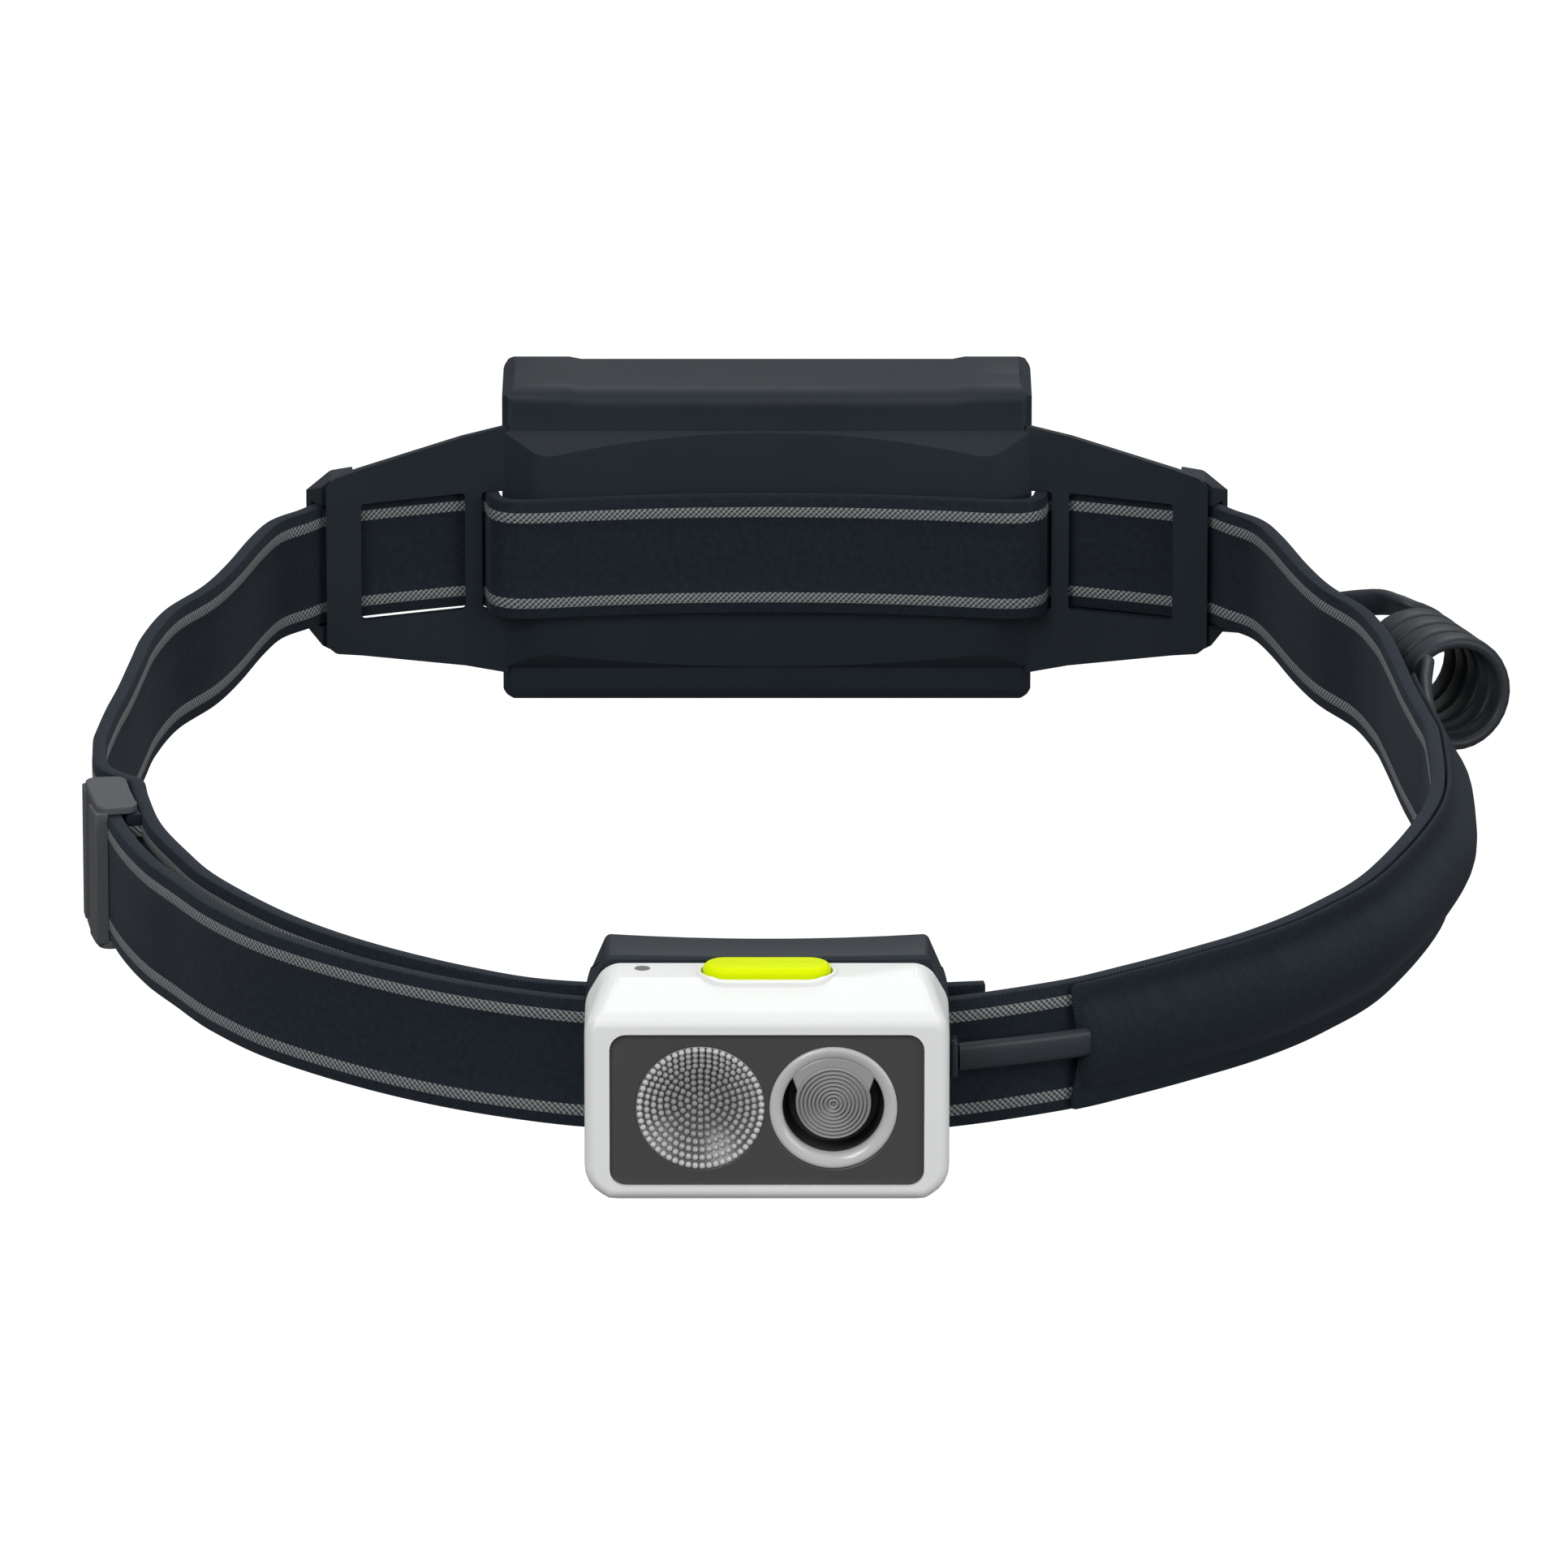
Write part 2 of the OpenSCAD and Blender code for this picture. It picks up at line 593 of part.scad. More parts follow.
module pack_rear_shell() color([0.14, 0.16, 0.2]) difference() {
    union() {
        difference() {
            intersection() {
                pack_block();
                slab(split_y, pack_back_y + 1);
            }
            pack_hollow();
        }
        for (s = pack_screw_spots) intersection() {
            along_y(s[0], split_y + 1, pack_back_y - 1, s[1], 2.6);
            pack_block(0.5);
        }
    }
    for (s = pack_screw_spots) along_y(s[0], split_y - 1, pack_back_y + 1, s[1], 1);
    for (s = pack_screw_spots) along_y(s[0], pack_back_y - 4, pack_back_y + 1, s[1], 2);
    translate([flap_x - 5, pack_back_y - 1, flap_z - 3.6]) cube([10, 2, 7.2]);
    translate([flap_x - 4.6, pack_back_y - 3, flap_z - 1.8]) cube([9.2, 4, 3.6]);
    along_x(flap_x - 5, flap_x + 5, flap_hinge_y, flap_z - hinge_drop, 0.9);
    along_x(flap_x - 6, flap_x + 6, flap_hinge_y, flap_z - hinge_drop, flap_pin_r);
}

module pack_seal() color("black") difference() {
    intersection() {
        pack_block(pack_wall + 0.02);
        slab(split_y - 0.6, split_y + 0.6);
    }
    intersection() {
        pack_block(pack_wall + 0.9);
        slab(split_y - 1, split_y + 1);
    }
}

module pack_screws() color("silver") for (s = pack_screw_spots) {
    along_y(s[0], split_y - 3.5, pack_back_y - 3.9, s[1], 0.9);
    along_y(s[0], pack_back_y - 4, pack_back_y - 2.2, s[1], 1.9);
}

module battery_cell() color("mediumpurple") along_x(-cell_l / 2, cell_l / 2, cell_y, cell_z, cell_r);

// A flat contact with a dimple that presses on the cell's end
module contact(side) {
    end = side * cell_l / 2;
    plate = end + side * 2.2;
    translate([plate + side * 0.2 - 0.4, cell_y - 5, cell_z - 6]) cube([0.8, 10, 12]);
    along_x(min(end, plate), max(end, plate), cell_y, cell_z, 3);
}

module front_contact() color("gold") contact(1);
module rear_contact() color("gold") contact(-1);

module charge_board() color("seagreen") translate([-34, cell_y - 6.4, -14]) cube([68, 1.2, 9.8]);

module charge_socket() color("silver") difference() {
    translate([flap_x - 4.5, pack_back_y - 9, flap_z - 1.7]) cube([9, 7.2, 3.4]);
    translate([flap_x - 3.9, pack_back_y - 6, flap_z - 1.1]) cube([7.8, 8, 2.2]);
}

module port_flap() color([0.2, 0.22, 0.24]) {
    translate([flap_x - flap_half, pack_back_y - 0.8, flap_z - 3]) cube([2 * flap_half, 1.2, 6.4]);
    translate([flap_x - 3.6, pack_back_y - 1.5, flap_z - 1]) cube([7.2, 0.8, 2]);
    difference() {
        along_x(flap_x - 4.6, flap_x + 4.6, flap_hinge_y, flap_z - hinge_drop, 0.8);
        along_x(flap_x - 6, flap_x + 6, flap_hinge_y, flap_z - hinge_drop, flap_pin_r + 0.05);
    }
    translate([flap_x - 4.6, pack_back_y, flap_z - 3.6]) cube([9.2, 0.4, 1.4]);
}

module flap_pin() color("silver")
    along_x(flap_x - 6, flap_x + 6, flap_hinge_y, flap_z - hinge_drop, flap_pin_r);

module pack_gland() color([0.1, 0.1, 0.11])
    translate([pack_x, 139.2 - 1.8, -10.6 - 3]) cube([4, 3.6, 6]);

lamp_housing();
lamp_bezel();
flood_lens();
spot_lens();
led_board();
flood_led();
spot_led();
status_light_pipe();
button_cap();
button_switch();
lamp_seal();
lamp_rear_cover();
cover_screws();
hinge_pin();
bracket();
bracket_gland();
strap_front();
strap_right();
strap_back();
strap_rear_left();
strap_tail();
strap_end_loop();
strap_slider();
cable_sleeve();
cable_front();
cable_coil();
cable_rear();
pack_frame();
pack_rear_shell();
pack_seal();
pack_screws();
battery_cell();
front_contact();
rear_contact();
charge_board();
charge_socket();
port_flap();
flap_pin();
pack_gland();
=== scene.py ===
# %% [markdown]
# # A headlamp on an elastic band
# This lesson dresses the headlamp's working model in its real surfaces: a white moulded lamp, woven elastic
# webbing with reflective stripes, a flat rubber cable wound into a short coil, and a battery pack.
# The working model is loaded first and never moves. New pieces are built in the same place, in metres,
# and each one rides on the body of the model that carries it.

# %% Load the frame
import json
import math

import bmesh
import bpy
from mathutils import Matrix, Vector
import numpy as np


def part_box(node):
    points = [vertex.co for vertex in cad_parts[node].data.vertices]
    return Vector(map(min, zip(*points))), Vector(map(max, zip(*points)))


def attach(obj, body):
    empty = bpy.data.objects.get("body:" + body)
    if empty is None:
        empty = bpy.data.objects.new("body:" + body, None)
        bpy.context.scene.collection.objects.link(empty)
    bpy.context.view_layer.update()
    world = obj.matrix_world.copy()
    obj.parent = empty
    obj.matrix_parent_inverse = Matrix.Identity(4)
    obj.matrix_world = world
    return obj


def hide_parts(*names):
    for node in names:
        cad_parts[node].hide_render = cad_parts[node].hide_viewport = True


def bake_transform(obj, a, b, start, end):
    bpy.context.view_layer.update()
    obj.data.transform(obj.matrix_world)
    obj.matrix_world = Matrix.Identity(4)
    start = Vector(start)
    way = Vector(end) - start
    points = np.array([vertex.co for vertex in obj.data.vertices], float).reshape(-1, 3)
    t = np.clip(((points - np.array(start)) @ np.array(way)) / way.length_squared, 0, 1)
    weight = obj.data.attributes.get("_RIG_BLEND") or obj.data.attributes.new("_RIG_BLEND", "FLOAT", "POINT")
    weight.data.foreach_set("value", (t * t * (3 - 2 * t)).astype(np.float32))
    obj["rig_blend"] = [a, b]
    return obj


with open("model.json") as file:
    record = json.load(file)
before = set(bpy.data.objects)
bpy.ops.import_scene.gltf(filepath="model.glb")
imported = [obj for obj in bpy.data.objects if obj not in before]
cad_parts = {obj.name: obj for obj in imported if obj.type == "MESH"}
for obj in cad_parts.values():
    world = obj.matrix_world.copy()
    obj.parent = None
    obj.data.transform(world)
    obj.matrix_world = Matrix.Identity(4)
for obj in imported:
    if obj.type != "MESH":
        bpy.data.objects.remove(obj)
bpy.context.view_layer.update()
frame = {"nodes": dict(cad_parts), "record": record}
nodes = frame["nodes"]
MM = 0.001

# %% [markdown]
# ## The studio
# A small product is shown from a little above, through a long lens, so that parallel edges stay almost
# parallel. The camera looks along +Y and is pitched down 17.8 degrees. The floor is pale and lies about
# 60 mm below the headlamp, and large soft lights keep the shadows faint.

# %% Camera
camera_pitch = 17.8
camera_data = bpy.data.cameras.new("camera")
camera_data.sensor_width = 36
camera_data.lens = 372.7
camera_data.shift_x = 0.0109
camera_data.clip_end = 20
camera = bpy.data.objects.new("camera", camera_data)
bpy.context.collection.objects.link(camera)
camera.location = (0, -2.41558, 0.77783)
camera.rotation_euler = (math.radians(90 - camera_pitch), 0, 0)
bpy.context.scene.camera = camera
print("camera at", tuple(round(value, 3) for value in camera.location))

# %% Sky and lights
bpy.context.scene.view_settings.view_transform = "Standard"
world = bpy.data.worlds.new("studio")
bpy.context.scene.world = world
world.use_nodes = True
world.node_tree.nodes["Background"].inputs["Color"].default_value = (1, 1, 1, 1)
world.node_tree.nodes["Background"].inputs["Strength"].default_value = 0.3


def soft_light(name, place, target, size, watts):
    """A square area light at a place, turned to a target."""
    data = bpy.data.lights.new(name, "AREA")
    data.size = size
    data.energy = watts
    light = bpy.data.objects.new(name, data)
    bpy.context.collection.objects.link(light)
    light.location = place
    light.rotation_euler = (Vector(target) - Vector(place)).to_track_quat("-Z", "Y").to_euler()
    print(name, "light,", watts, "watts")


soft_light("key", (-0.5, -1.0, 0.75), (0, -0.05, 0), 0.6, 8.6)
soft_light("fill", (0.9, -0.7, 0.4), (0, 0, 0), 0.7, 4.6)
soft_light("top", (0, 0.15, 1.1), (0, 0, 0), 0.6, 2.6)
soft_light("back", (0.2, 0.8, 0.9), (0, 0.1, 0), 0.6, 3)

# %% [markdown]
# The floor takes soft shadows from the lights but glows for the camera alone, so it looks as white as the
# sky and throws no extra light on the headlamp.

# %% Floor
floor_z = -0.09
floor_half = 6
floor_mesh = bpy.data.meshes.new("floor")
floor_bm = bmesh.new()
bmesh.ops.create_grid(floor_bm, x_segments=1, y_segments=1, size=floor_half)
bmesh.ops.translate(floor_bm, verts=floor_bm.verts, vec=(0, 0, floor_z))
floor_bm.to_mesh(floor_mesh)
floor_bm.free()
floor = bpy.data.objects.new("floor", floor_mesh)
bpy.context.collection.objects.link(floor)
floor_paint = bpy.data.materials.new("floor_paint")
floor_paint.use_nodes = True
floor_shader = floor_paint.node_tree.nodes["Principled BSDF"]
floor_shader.inputs["Base Color"].default_value = (0.2, 0.2, 0.2, 1)
floor_shader.inputs["Roughness"].default_value = 1
floor_shader.inputs["Specular IOR Level"].default_value = 0
floor_shader.inputs["Emission Color"].default_value = (1, 1, 1, 1)
seen = floor_paint.node_tree.nodes.new("ShaderNodeLightPath")
glow = floor_paint.node_tree.nodes.new("ShaderNodeMath")
glow.operation = "MULTIPLY"
glow.inputs[1].default_value = 0.95
floor_paint.node_tree.links.new(seen.outputs["Is Camera Ray"], glow.inputs[0])
floor_paint.node_tree.links.new(glow.outputs[0], floor_shader.inputs["Emission Strength"])
floor_mesh.materials.append(floor_paint)

# %% [markdown]
# ## Helpers for every piece
# A piece starts as a bmesh, becomes an object at the origin, gets a material, and is told which body it
# rides on and which plain solids it stands for. One function does this for all of them.


# %% Make a piece
def finish_piece(name, bm, material, body, stands_for=(), smooth_angle=35):
    """Turns a bmesh into a finished, riding object whose place is in its mesh."""
    mesh = bpy.data.meshes.new(name)
    bm.to_mesh(mesh)
    bm.free()
    mesh.materials.append(material)
    mesh.shade_smooth()
    piece = bpy.data.objects.new(name, mesh)
    bpy.context.collection.objects.link(piece)
    if smooth_angle:
        mesh.set_sharp_from_angle(angle=math.radians(smooth_angle))
    if body:
        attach(piece, body)
    if stands_for:
        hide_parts(*stands_for)
    print("made", name, "with", len(mesh.polygons), "faces")
    return piece


def soften(piece, width, segments=3, angle=30):
    """Rounds the hard edges of a piece, as a mould does."""
    bevel = piece.modifiers.new("soft edges", "BEVEL")
    bevel.width = width
    bevel.segments = segments
    bevel.limit_method = "ANGLE"
    bevel.angle_limit = math.radians(angle)
    bevel.harden_normals = False
    bevel.use_clamp_overlap = True


def merged_copy(node):
    """The mesh of a solid as a bmesh with its flat faces whole again."""
    bm = bmesh.new()
    bm.from_mesh(nodes[node].data)
    bmesh.ops.remove_doubles(bm, verts=bm.verts, dist=0.00001)
    bmesh.ops.dissolve_limit(bm, angle_limit=math.radians(1), verts=bm.verts, edges=bm.edges)
    bmesh.ops.recalc_face_normals(bm, faces=bm.faces)
    return bm

# %% [markdown]
# ## Routes
# The band and the cable are long, thin and flexible, so each is a section carried along a route. The
# route's points are listed, and a smooth curve joins them, in the same way as in the working
# model, so the finished surface lies where the plain solid does.


# %% Smooth curves
def smooth_curve(points, steps):
    """Points on the smooth curve through the given points, in metres."""
    points = [Vector(p) * MM for p in points]
    last = len(points) - 1
    out = []
    for i in range(last):
        a, b, c, d = points[max(i - 1, 0)], points[i], points[i + 1], points[min(i + 2, last)]
        for k in range(steps):
            t = k / steps
            out.append(0.5 * (2 * b + (c - a) * t + (2 * a - 5 * b + 4 * c - d) * t * t
                              + (3 * b - a - 3 * c + d) * t ** 3))
    return out + [points[last]]


def even_curve(points, spacing):
    """The same curve with its points a set distance apart."""
    lengths = [0.0]
    for before, after in zip(points, points[1:]):
        lengths.append(lengths[-1] + (after - before).length)
    count = max(2, round(lengths[-1] / spacing))
    out = []
    j = 0
    for i in range(count + 1):
        want = lengths[-1] * i / count
        while j < len(lengths) - 2 and lengths[j + 1] < want:
            j += 1
        share = (want - lengths[j]) / max(lengths[j + 1] - lengths[j], 1e-9)
        out.append(points[j].lerp(points[j + 1], share))
    return out


def curve_length(points):
    return sum((b - a).length for a, b in zip(points, points[1:]))


def tangents(points):
    last = len(points) - 1
    return [(points[min(i + 1, last)] - points[max(i - 1, 0)]).normalized() for i in range(last + 1)]

# %% [markdown]
# A section is extruded from station to station. At each station it is placed by the route's direction
# and by which way its width points. The distance along the route and round the section are kept as a UV
# map in metres, so a weave follows the cloth wherever it bends.


# %% Carry a section along a route
def carry(section, route, widths):
    """Extrudes a closed section of (sideways, up) points along a route; widths gives each up direction."""
    bm = bmesh.new()
    along_layer = bm.verts.layers.float.new("along")
    round_layer = bm.verts.layers.float.new("round")
    directions = tangents(route)

    def place(i, point):
        up = (widths[i] - widths[i].dot(directions[i]) * directions[i]).normalized()
        side = directions[i].cross(up)
        return route[i] + side * point[0] + up * point[1]

    ring = [bm.verts.new(place(0, point)) for point in section]
    for vert, point in zip(ring, section):
        vert[round_layer] = point[0] + point[1]
    edges = [bm.edges.new((ring[k - 1], ring[k])) for k in range(len(ring))]
    start = list(ring)
    travelled = 0.0
    for i in range(1, len(route)):
        travelled += (route[i] - route[i - 1]).length
        grown = bmesh.ops.extrude_edge_only(bm, edges=edges)["geom"]
        new_verts = [g for g in grown if isinstance(g, bmesh.types.BMVert)]
        new_edges = {frozenset(e.verts): e for e in grown if isinstance(e, bmesh.types.BMEdge)}
        partner = {}
        for vert in new_verts:
            for edge in vert.link_edges:
                other = edge.other_vert(vert)
                if other in ring:
                    partner[other] = vert
        ring = [partner[vert] for vert in ring]
        for vert, point in zip(ring, section):
            vert.co = place(i, point)
            vert[along_layer] = travelled
            vert[round_layer] = point[0] + point[1]
        edges = [new_edges[frozenset((ring[k - 1], ring[k]))] for k in range(len(ring))]
    bm.faces.new(start)
    bm.faces.new(reversed(ring))
    bmesh.ops.recalc_face_normals(bm, faces=bm.faces)
    uv = bm.loops.layers.uv.new("UVMap")
    for face in bm.faces:
        for loop in face.loops:
            loop[uv].uv = (loop.vert[along_layer], loop.vert[round_layer])
    return bm

# %% [markdown]
# ## Finishes
# Each finish is a Principled BSDF whose plain numbers sit on its own sockets. Effects that several
# finishes share are node groups: a moulded grain for plastic and rubber, and a weave for cloth. A group
# puts out only heights and masks, and each material decides what to do with them.


# %% Node helpers
class Net:
    """A small hand for wiring nodes in a tree."""

    def __init__(self, tree):
        self.tree = tree
        self.nodes = tree.nodes

    def add(self, kind, **settings):
        node = self.nodes.new(kind)
        for key, value in settings.items():
            setattr(node, key, value)
        return node

    def join(self, out, into):
        self.tree.links.new(out, into)

    def math(self, operation, a, b=None):
        node = self.add("ShaderNodeMath", operation=operation)
        for socket, value in zip(node.inputs, (a, b)):
            if value is None:
                continue
            if isinstance(value, (int, float)):
                socket.default_value = value
            else:
                self.join(value, socket)
        return node.outputs[0]

    def mix(self, factor, a, b):
        """Mixes two colours, or a socket's colours, by a factor."""
        node = self.add("ShaderNodeMix", data_type="RGBA")
        for socket, value in zip((node.inputs["Factor"], node.inputs[6], node.inputs[7]), (factor, a, b)):
            if isinstance(value, (int, float, tuple)):
                socket.default_value = value
            else:
                self.join(value, socket)
        return node.outputs[2]


def new_group(name, inputs, outputs):
    """A node group with named number inputs and outputs."""
    group = bpy.data.node_groups.new(name, "ShaderNodeTree")
    for title, kind, value in inputs:
        socket = group.interface.new_socket(title, in_out="INPUT", socket_type=kind)
        if value is not None:
            socket.default_value = value
    for title in outputs:
        group.interface.new_socket(title, in_out="OUTPUT", socket_type="NodeSocketFloat")
    net = Net(group)
    return group, net, net.add("NodeGroupInput"), net.add("NodeGroupOutput")


# %% Moulded grain
# A spark-eroded mould leaves a fine, even pebble. Larger, fainter clouds stand for handling.
grain_group, net, given, result = new_group(
    "moulded_grain",
    [("Vector", "NodeSocketVector", None), ("Size", "NodeSocketFloat", 3000.0)],
    ["Height", "Clouds"])
fine = net.add("ShaderNodeTexNoise")
fine.inputs["Detail"].default_value = 2
net.join(given.outputs["Vector"], fine.inputs["Vector"])
net.join(given.outputs["Size"], fine.inputs["Scale"])
clouds = net.add("ShaderNodeTexNoise")
clouds.inputs["Scale"].default_value = 60
clouds.inputs["Detail"].default_value = 4
net.join(given.outputs["Vector"], clouds.inputs["Vector"])
net.join(fine.outputs["Fac"], result.inputs["Height"])
net.join(clouds.outputs["Fac"], result.inputs["Clouds"])

# %% Weave
# Two sets of diagonal ridges cross. One is stronger, which gives a twill its slant.
weave_group, net, given, result = new_group(
    "cloth_weave",
    [("Vector", "NodeSocketVector", None), ("Thread", "NodeSocketFloat", 0.0006)],
    ["Height", "Speckle"])
split = net.add("ShaderNodeSeparateXYZ")
net.join(given.outputs["Vector"], split.inputs[0])
across = net.math("ADD", split.outputs["X"], split.outputs["Y"])
back = net.math("SUBTRACT", split.outputs["X"], split.outputs["Y"])
turns_a = net.math("MULTIPLY", net.math("DIVIDE", across, given.outputs["Thread"]), math.tau)
turns_b = net.math("MULTIPLY", net.math("DIVIDE", back, given.outputs["Thread"]), math.tau)
ridge_a = net.math("SINE", turns_a)
ridge_b = net.math("MULTIPLY", net.math("SINE", turns_b), 0.7)
total = net.math("MULTIPLY", net.math("ADD", ridge_a, ridge_b), 0.3)
net.join(net.math("ADD", total, 0.5), result.inputs["Height"])
speckle = net.add("ShaderNodeTexNoise")
speckle.inputs["Scale"].default_value = 900
net.join(given.outputs["Vector"], speckle.inputs["Vector"])
net.join(speckle.outputs["Fac"], result.inputs["Speckle"])


# %% Start a material
def begin(name, color, roughness, metallic=0.0):
    """A material with its Principled BSDF, ready for more nodes."""
    material = bpy.data.materials.new(name)
    material.use_nodes = True
    net = Net(material.node_tree)
    shader = net.nodes["Principled BSDF"]
    shader.inputs["Base Color"].default_value = (*color, 1)
    shader.inputs["Roughness"].default_value = roughness
    shader.inputs["Metallic"].default_value = metallic
    return material, net, shader


def bump(net, shader, height, strength, distance):
    node = net.add("ShaderNodeBump")
    node.inputs["Strength"].default_value = strength
    node.inputs["Distance"].default_value = distance
    net.join(height, node.inputs["Height"])
    net.join(node.outputs["Normal"], shader.inputs["Normal"])


def moulded(name, color, light, roughness, grain=3000.0, depth=0.00002, strength=0.35, shine=0.5):
    """Moulded plastic or rubber: fine grain, and a faint cloudiness in colour and gloss."""
    material, net, shader = begin(name, color, roughness)
    shader.inputs["Specular IOR Level"].default_value = shine
    place = net.add("ShaderNodeTexCoord")
    group = net.add("ShaderNodeGroup", node_tree=grain_group)
    net.join(place.outputs["Object"], group.inputs["Vector"])
    group.inputs["Size"].default_value = grain
    net.join(net.mix(group.outputs["Clouds"], (*color, 1), (*light, 1)), shader.inputs["Base Color"])
    gloss = net.add("ShaderNodeMapRange")
    gloss.inputs["To Min"].default_value = roughness - 0.06
    gloss.inputs["To Max"].default_value = roughness + 0.08
    net.join(group.outputs["Clouds"], gloss.inputs["Value"])
    net.join(gloss.outputs[0], shader.inputs["Roughness"])
    bump(net, shader, group.outputs["Height"], strength, depth)
    return material


# %% Plastics and rubbers
white_plastic = moulded("white_plastic", (0.86, 0.86, 0.84), (0.9, 0.9, 0.885), 0.4, 2600, 0.00001, 0.2)
white_plastic.node_tree.nodes["Principled BSDF"].inputs["Subsurface Weight"].default_value = 0.05
dark_plastic = moulded("dark_plastic", (0.009, 0.015, 0.022), (0.013, 0.02, 0.029), 0.5, shine=0.3)
grey_plastic = moulded("grey_plastic", (0.075, 0.082, 0.09), (0.095, 0.102, 0.11), 0.5, shine=0.3)
bezel_plastic = moulded("bezel_plastic", (0.052, 0.052, 0.052), (0.062, 0.062, 0.062), 0.42, 2200)
button_rubber = moulded("button_rubber", (0.73, 0.9, 0.0), (0.76, 0.92, 0.0), 0.5, 3200, 0.000005,
                        shine=0.05)
cable_rubber = moulded("cable_rubber", (0.022, 0.027, 0.034), (0.03, 0.036, 0.044), 0.45, 2400, 0.00001,
                       shine=0.35)
seal_rubber = moulded("seal_rubber", (0.015, 0.015, 0.017), (0.022, 0.022, 0.024), 0.6)
light_pipe = moulded("light_pipe", (0.13, 0.13, 0.13), (0.17, 0.17, 0.17), 0.3, 1500, 0.000005)
cell_wrap = moulded("cell_wrap", (0.12, 0.09, 0.4), (0.15, 0.12, 0.45), 0.3, 900, 0.000005)
board_mask = moulded("board_mask", (0.01, 0.13, 0.06), (0.015, 0.16, 0.08), 0.35, 700, 0.000008)
led_yellow = moulded("led_yellow", (0.85, 0.66, 0.14), (0.9, 0.72, 0.18), 0.5, 1800, 0.00001)
cup_grey = moulded("cup_grey", (0.085, 0.085, 0.085), (0.13, 0.13, 0.13), 0.25, 1200, 0.000005)
dark_well = moulded("dark_well", (0.012, 0.012, 0.013), (0.02, 0.02, 0.021), 0.5)


# %% Metals
def metal(name, color, light, roughness, scratch=(400, 40, 400)):
    """Metal with long faint scratches along one way."""
    material, net, shader = begin(name, color, roughness, 1.0)
    place = net.add("ShaderNodeTexCoord")
    stretch = net.add("ShaderNodeMapping")
    stretch.inputs["Scale"].default_value = scratch
    net.join(place.outputs["Object"], stretch.inputs["Vector"])
    lines = net.add("ShaderNodeTexNoise")
    lines.inputs["Scale"].default_value = 10
    lines.inputs["Detail"].default_value = 6
    net.join(stretch.outputs[0], lines.inputs["Vector"])
    net.join(net.mix(lines.outputs["Fac"], (*color, 1), (*light, 1)), shader.inputs["Base Color"])
    bump(net, shader, lines.outputs["Fac"], 0.2, 0.00002)
    return material


steel = metal("steel", (0.42, 0.42, 0.43), (0.62, 0.62, 0.63), 0.32)
contact_brass = metal("contact_brass", (0.7, 0.5, 0.2), (0.85, 0.64, 0.3), 0.3)


# %% Clear plastic
def clear(name, color, roughness, transmission):
    material, net, shader = begin(name, color, roughness)
    shader.inputs["Transmission Weight"].default_value = transmission
    shader.inputs["IOR"].default_value = 1.49
    place = net.add("ShaderNodeTexCoord")
    group = net.add("ShaderNodeGroup", node_tree=grain_group)
    net.join(place.outputs["Object"], group.inputs["Vector"])
    group.inputs["Size"].default_value = 900
    lift = net.add("ShaderNodeMapRange")
    lift.inputs["To Min"].default_value = roughness
    lift.inputs["To Max"].default_value = roughness + 0.05
    net.join(group.outputs["Clouds"], lift.inputs["Value"])
    net.join(lift.outputs[0], shader.inputs["Roughness"])
    return material


clear_lens = clear("clear_lens", (0.62, 0.62, 0.62), 0.06, 0.3)
ringed_lens = clear("ringed_lens", (0.36, 0.36, 0.36), 0.16, 0.0)
# The spot ring is the same clear plastic as the disc, painted lighter: painted light that the ring catches.
painted_light_lens = clear("painted_light_lens", (0.56, 0.56, 0.56), 0.1, 0.0)

# %% [markdown]
# ## Webbing
# The band is woven elastic: a navy ground with a fine slanted weave, ribbed selvedges, and two silver-grey
# reflective stripes woven in near its edges. The stripe is found from the height on the band, and its own
# pattern is a fine net of dark diamonds.

# %% Webbing
stripe_middle = 7.3 * MM
stripe_half = 0.85 * MM
stripe_net = 0.0009


def cloth(name, ground, thread_color, thread, stripes):
    """Woven cloth on a UV map in metres, with or without the two reflective stripes."""
    material, net, shader = begin(name, ground, 0.85)
    shader.inputs["Sheen Weight"].default_value = 0.08
    shader.inputs["Specular IOR Level"].default_value = 0.2
    shader.inputs["Sheen Roughness"].default_value = 0.5
    shader.inputs["Sheen Tint"].default_value = (0.5, 0.58, 0.68, 1)
    flat = net.add("ShaderNodeUVMap", uv_map="UVMap")
    weave = net.add("ShaderNodeGroup", node_tree=weave_group)
    weave.inputs["Thread"].default_value = thread
    net.join(flat.outputs[0], weave.inputs["Vector"])
    lit = net.math("MULTIPLY", weave.outputs["Height"], weave.outputs["Speckle"])
    color = net.mix(lit, (*ground, 1), (*thread_color, 1))
    if stripes:
        place = net.add("ShaderNodeTexCoord")
        split = net.add("ShaderNodeSeparateXYZ")
        net.join(place.outputs["Object"], split.inputs[0])
        height = net.math("ABSOLUTE", split.outputs["Z"])
        off = net.math("ABSOLUTE", net.math("SUBTRACT", height, stripe_middle))
        inside = net.math("LESS_THAN", off, stripe_half)
        line = net.add("ShaderNodeGroup", node_tree=weave_group)
        line.inputs["Thread"].default_value = stripe_net
        net.join(flat.outputs[0], line.inputs["Vector"])
        net_mask = net.math("GREATER_THAN", line.outputs["Height"], 0.47)
        silver = net.mix(net_mask, (0.05, 0.055, 0.06, 1), (0.27, 0.275, 0.28, 1))
        color = net.mix(inside, color, silver)
    net.join(color, shader.inputs["Base Color"])
    bump(net, shader, weave.outputs["Height"], 0.5, 0.00012)
    return material


webbing = cloth("webbing", (0.005, 0.0085, 0.014), (0.028, 0.04, 0.055), 0.00062, True)
sleeve_cloth = cloth("sleeve_cloth", (0.005, 0.009, 0.014), (0.022, 0.033, 0.046), 0.00055, False)

# %% [markdown]
# Every plain solid gets its finish too, because some of them, such as the seal, the cell and the boards,
# stay in the model as they are. Each one's slot says which finish it has.

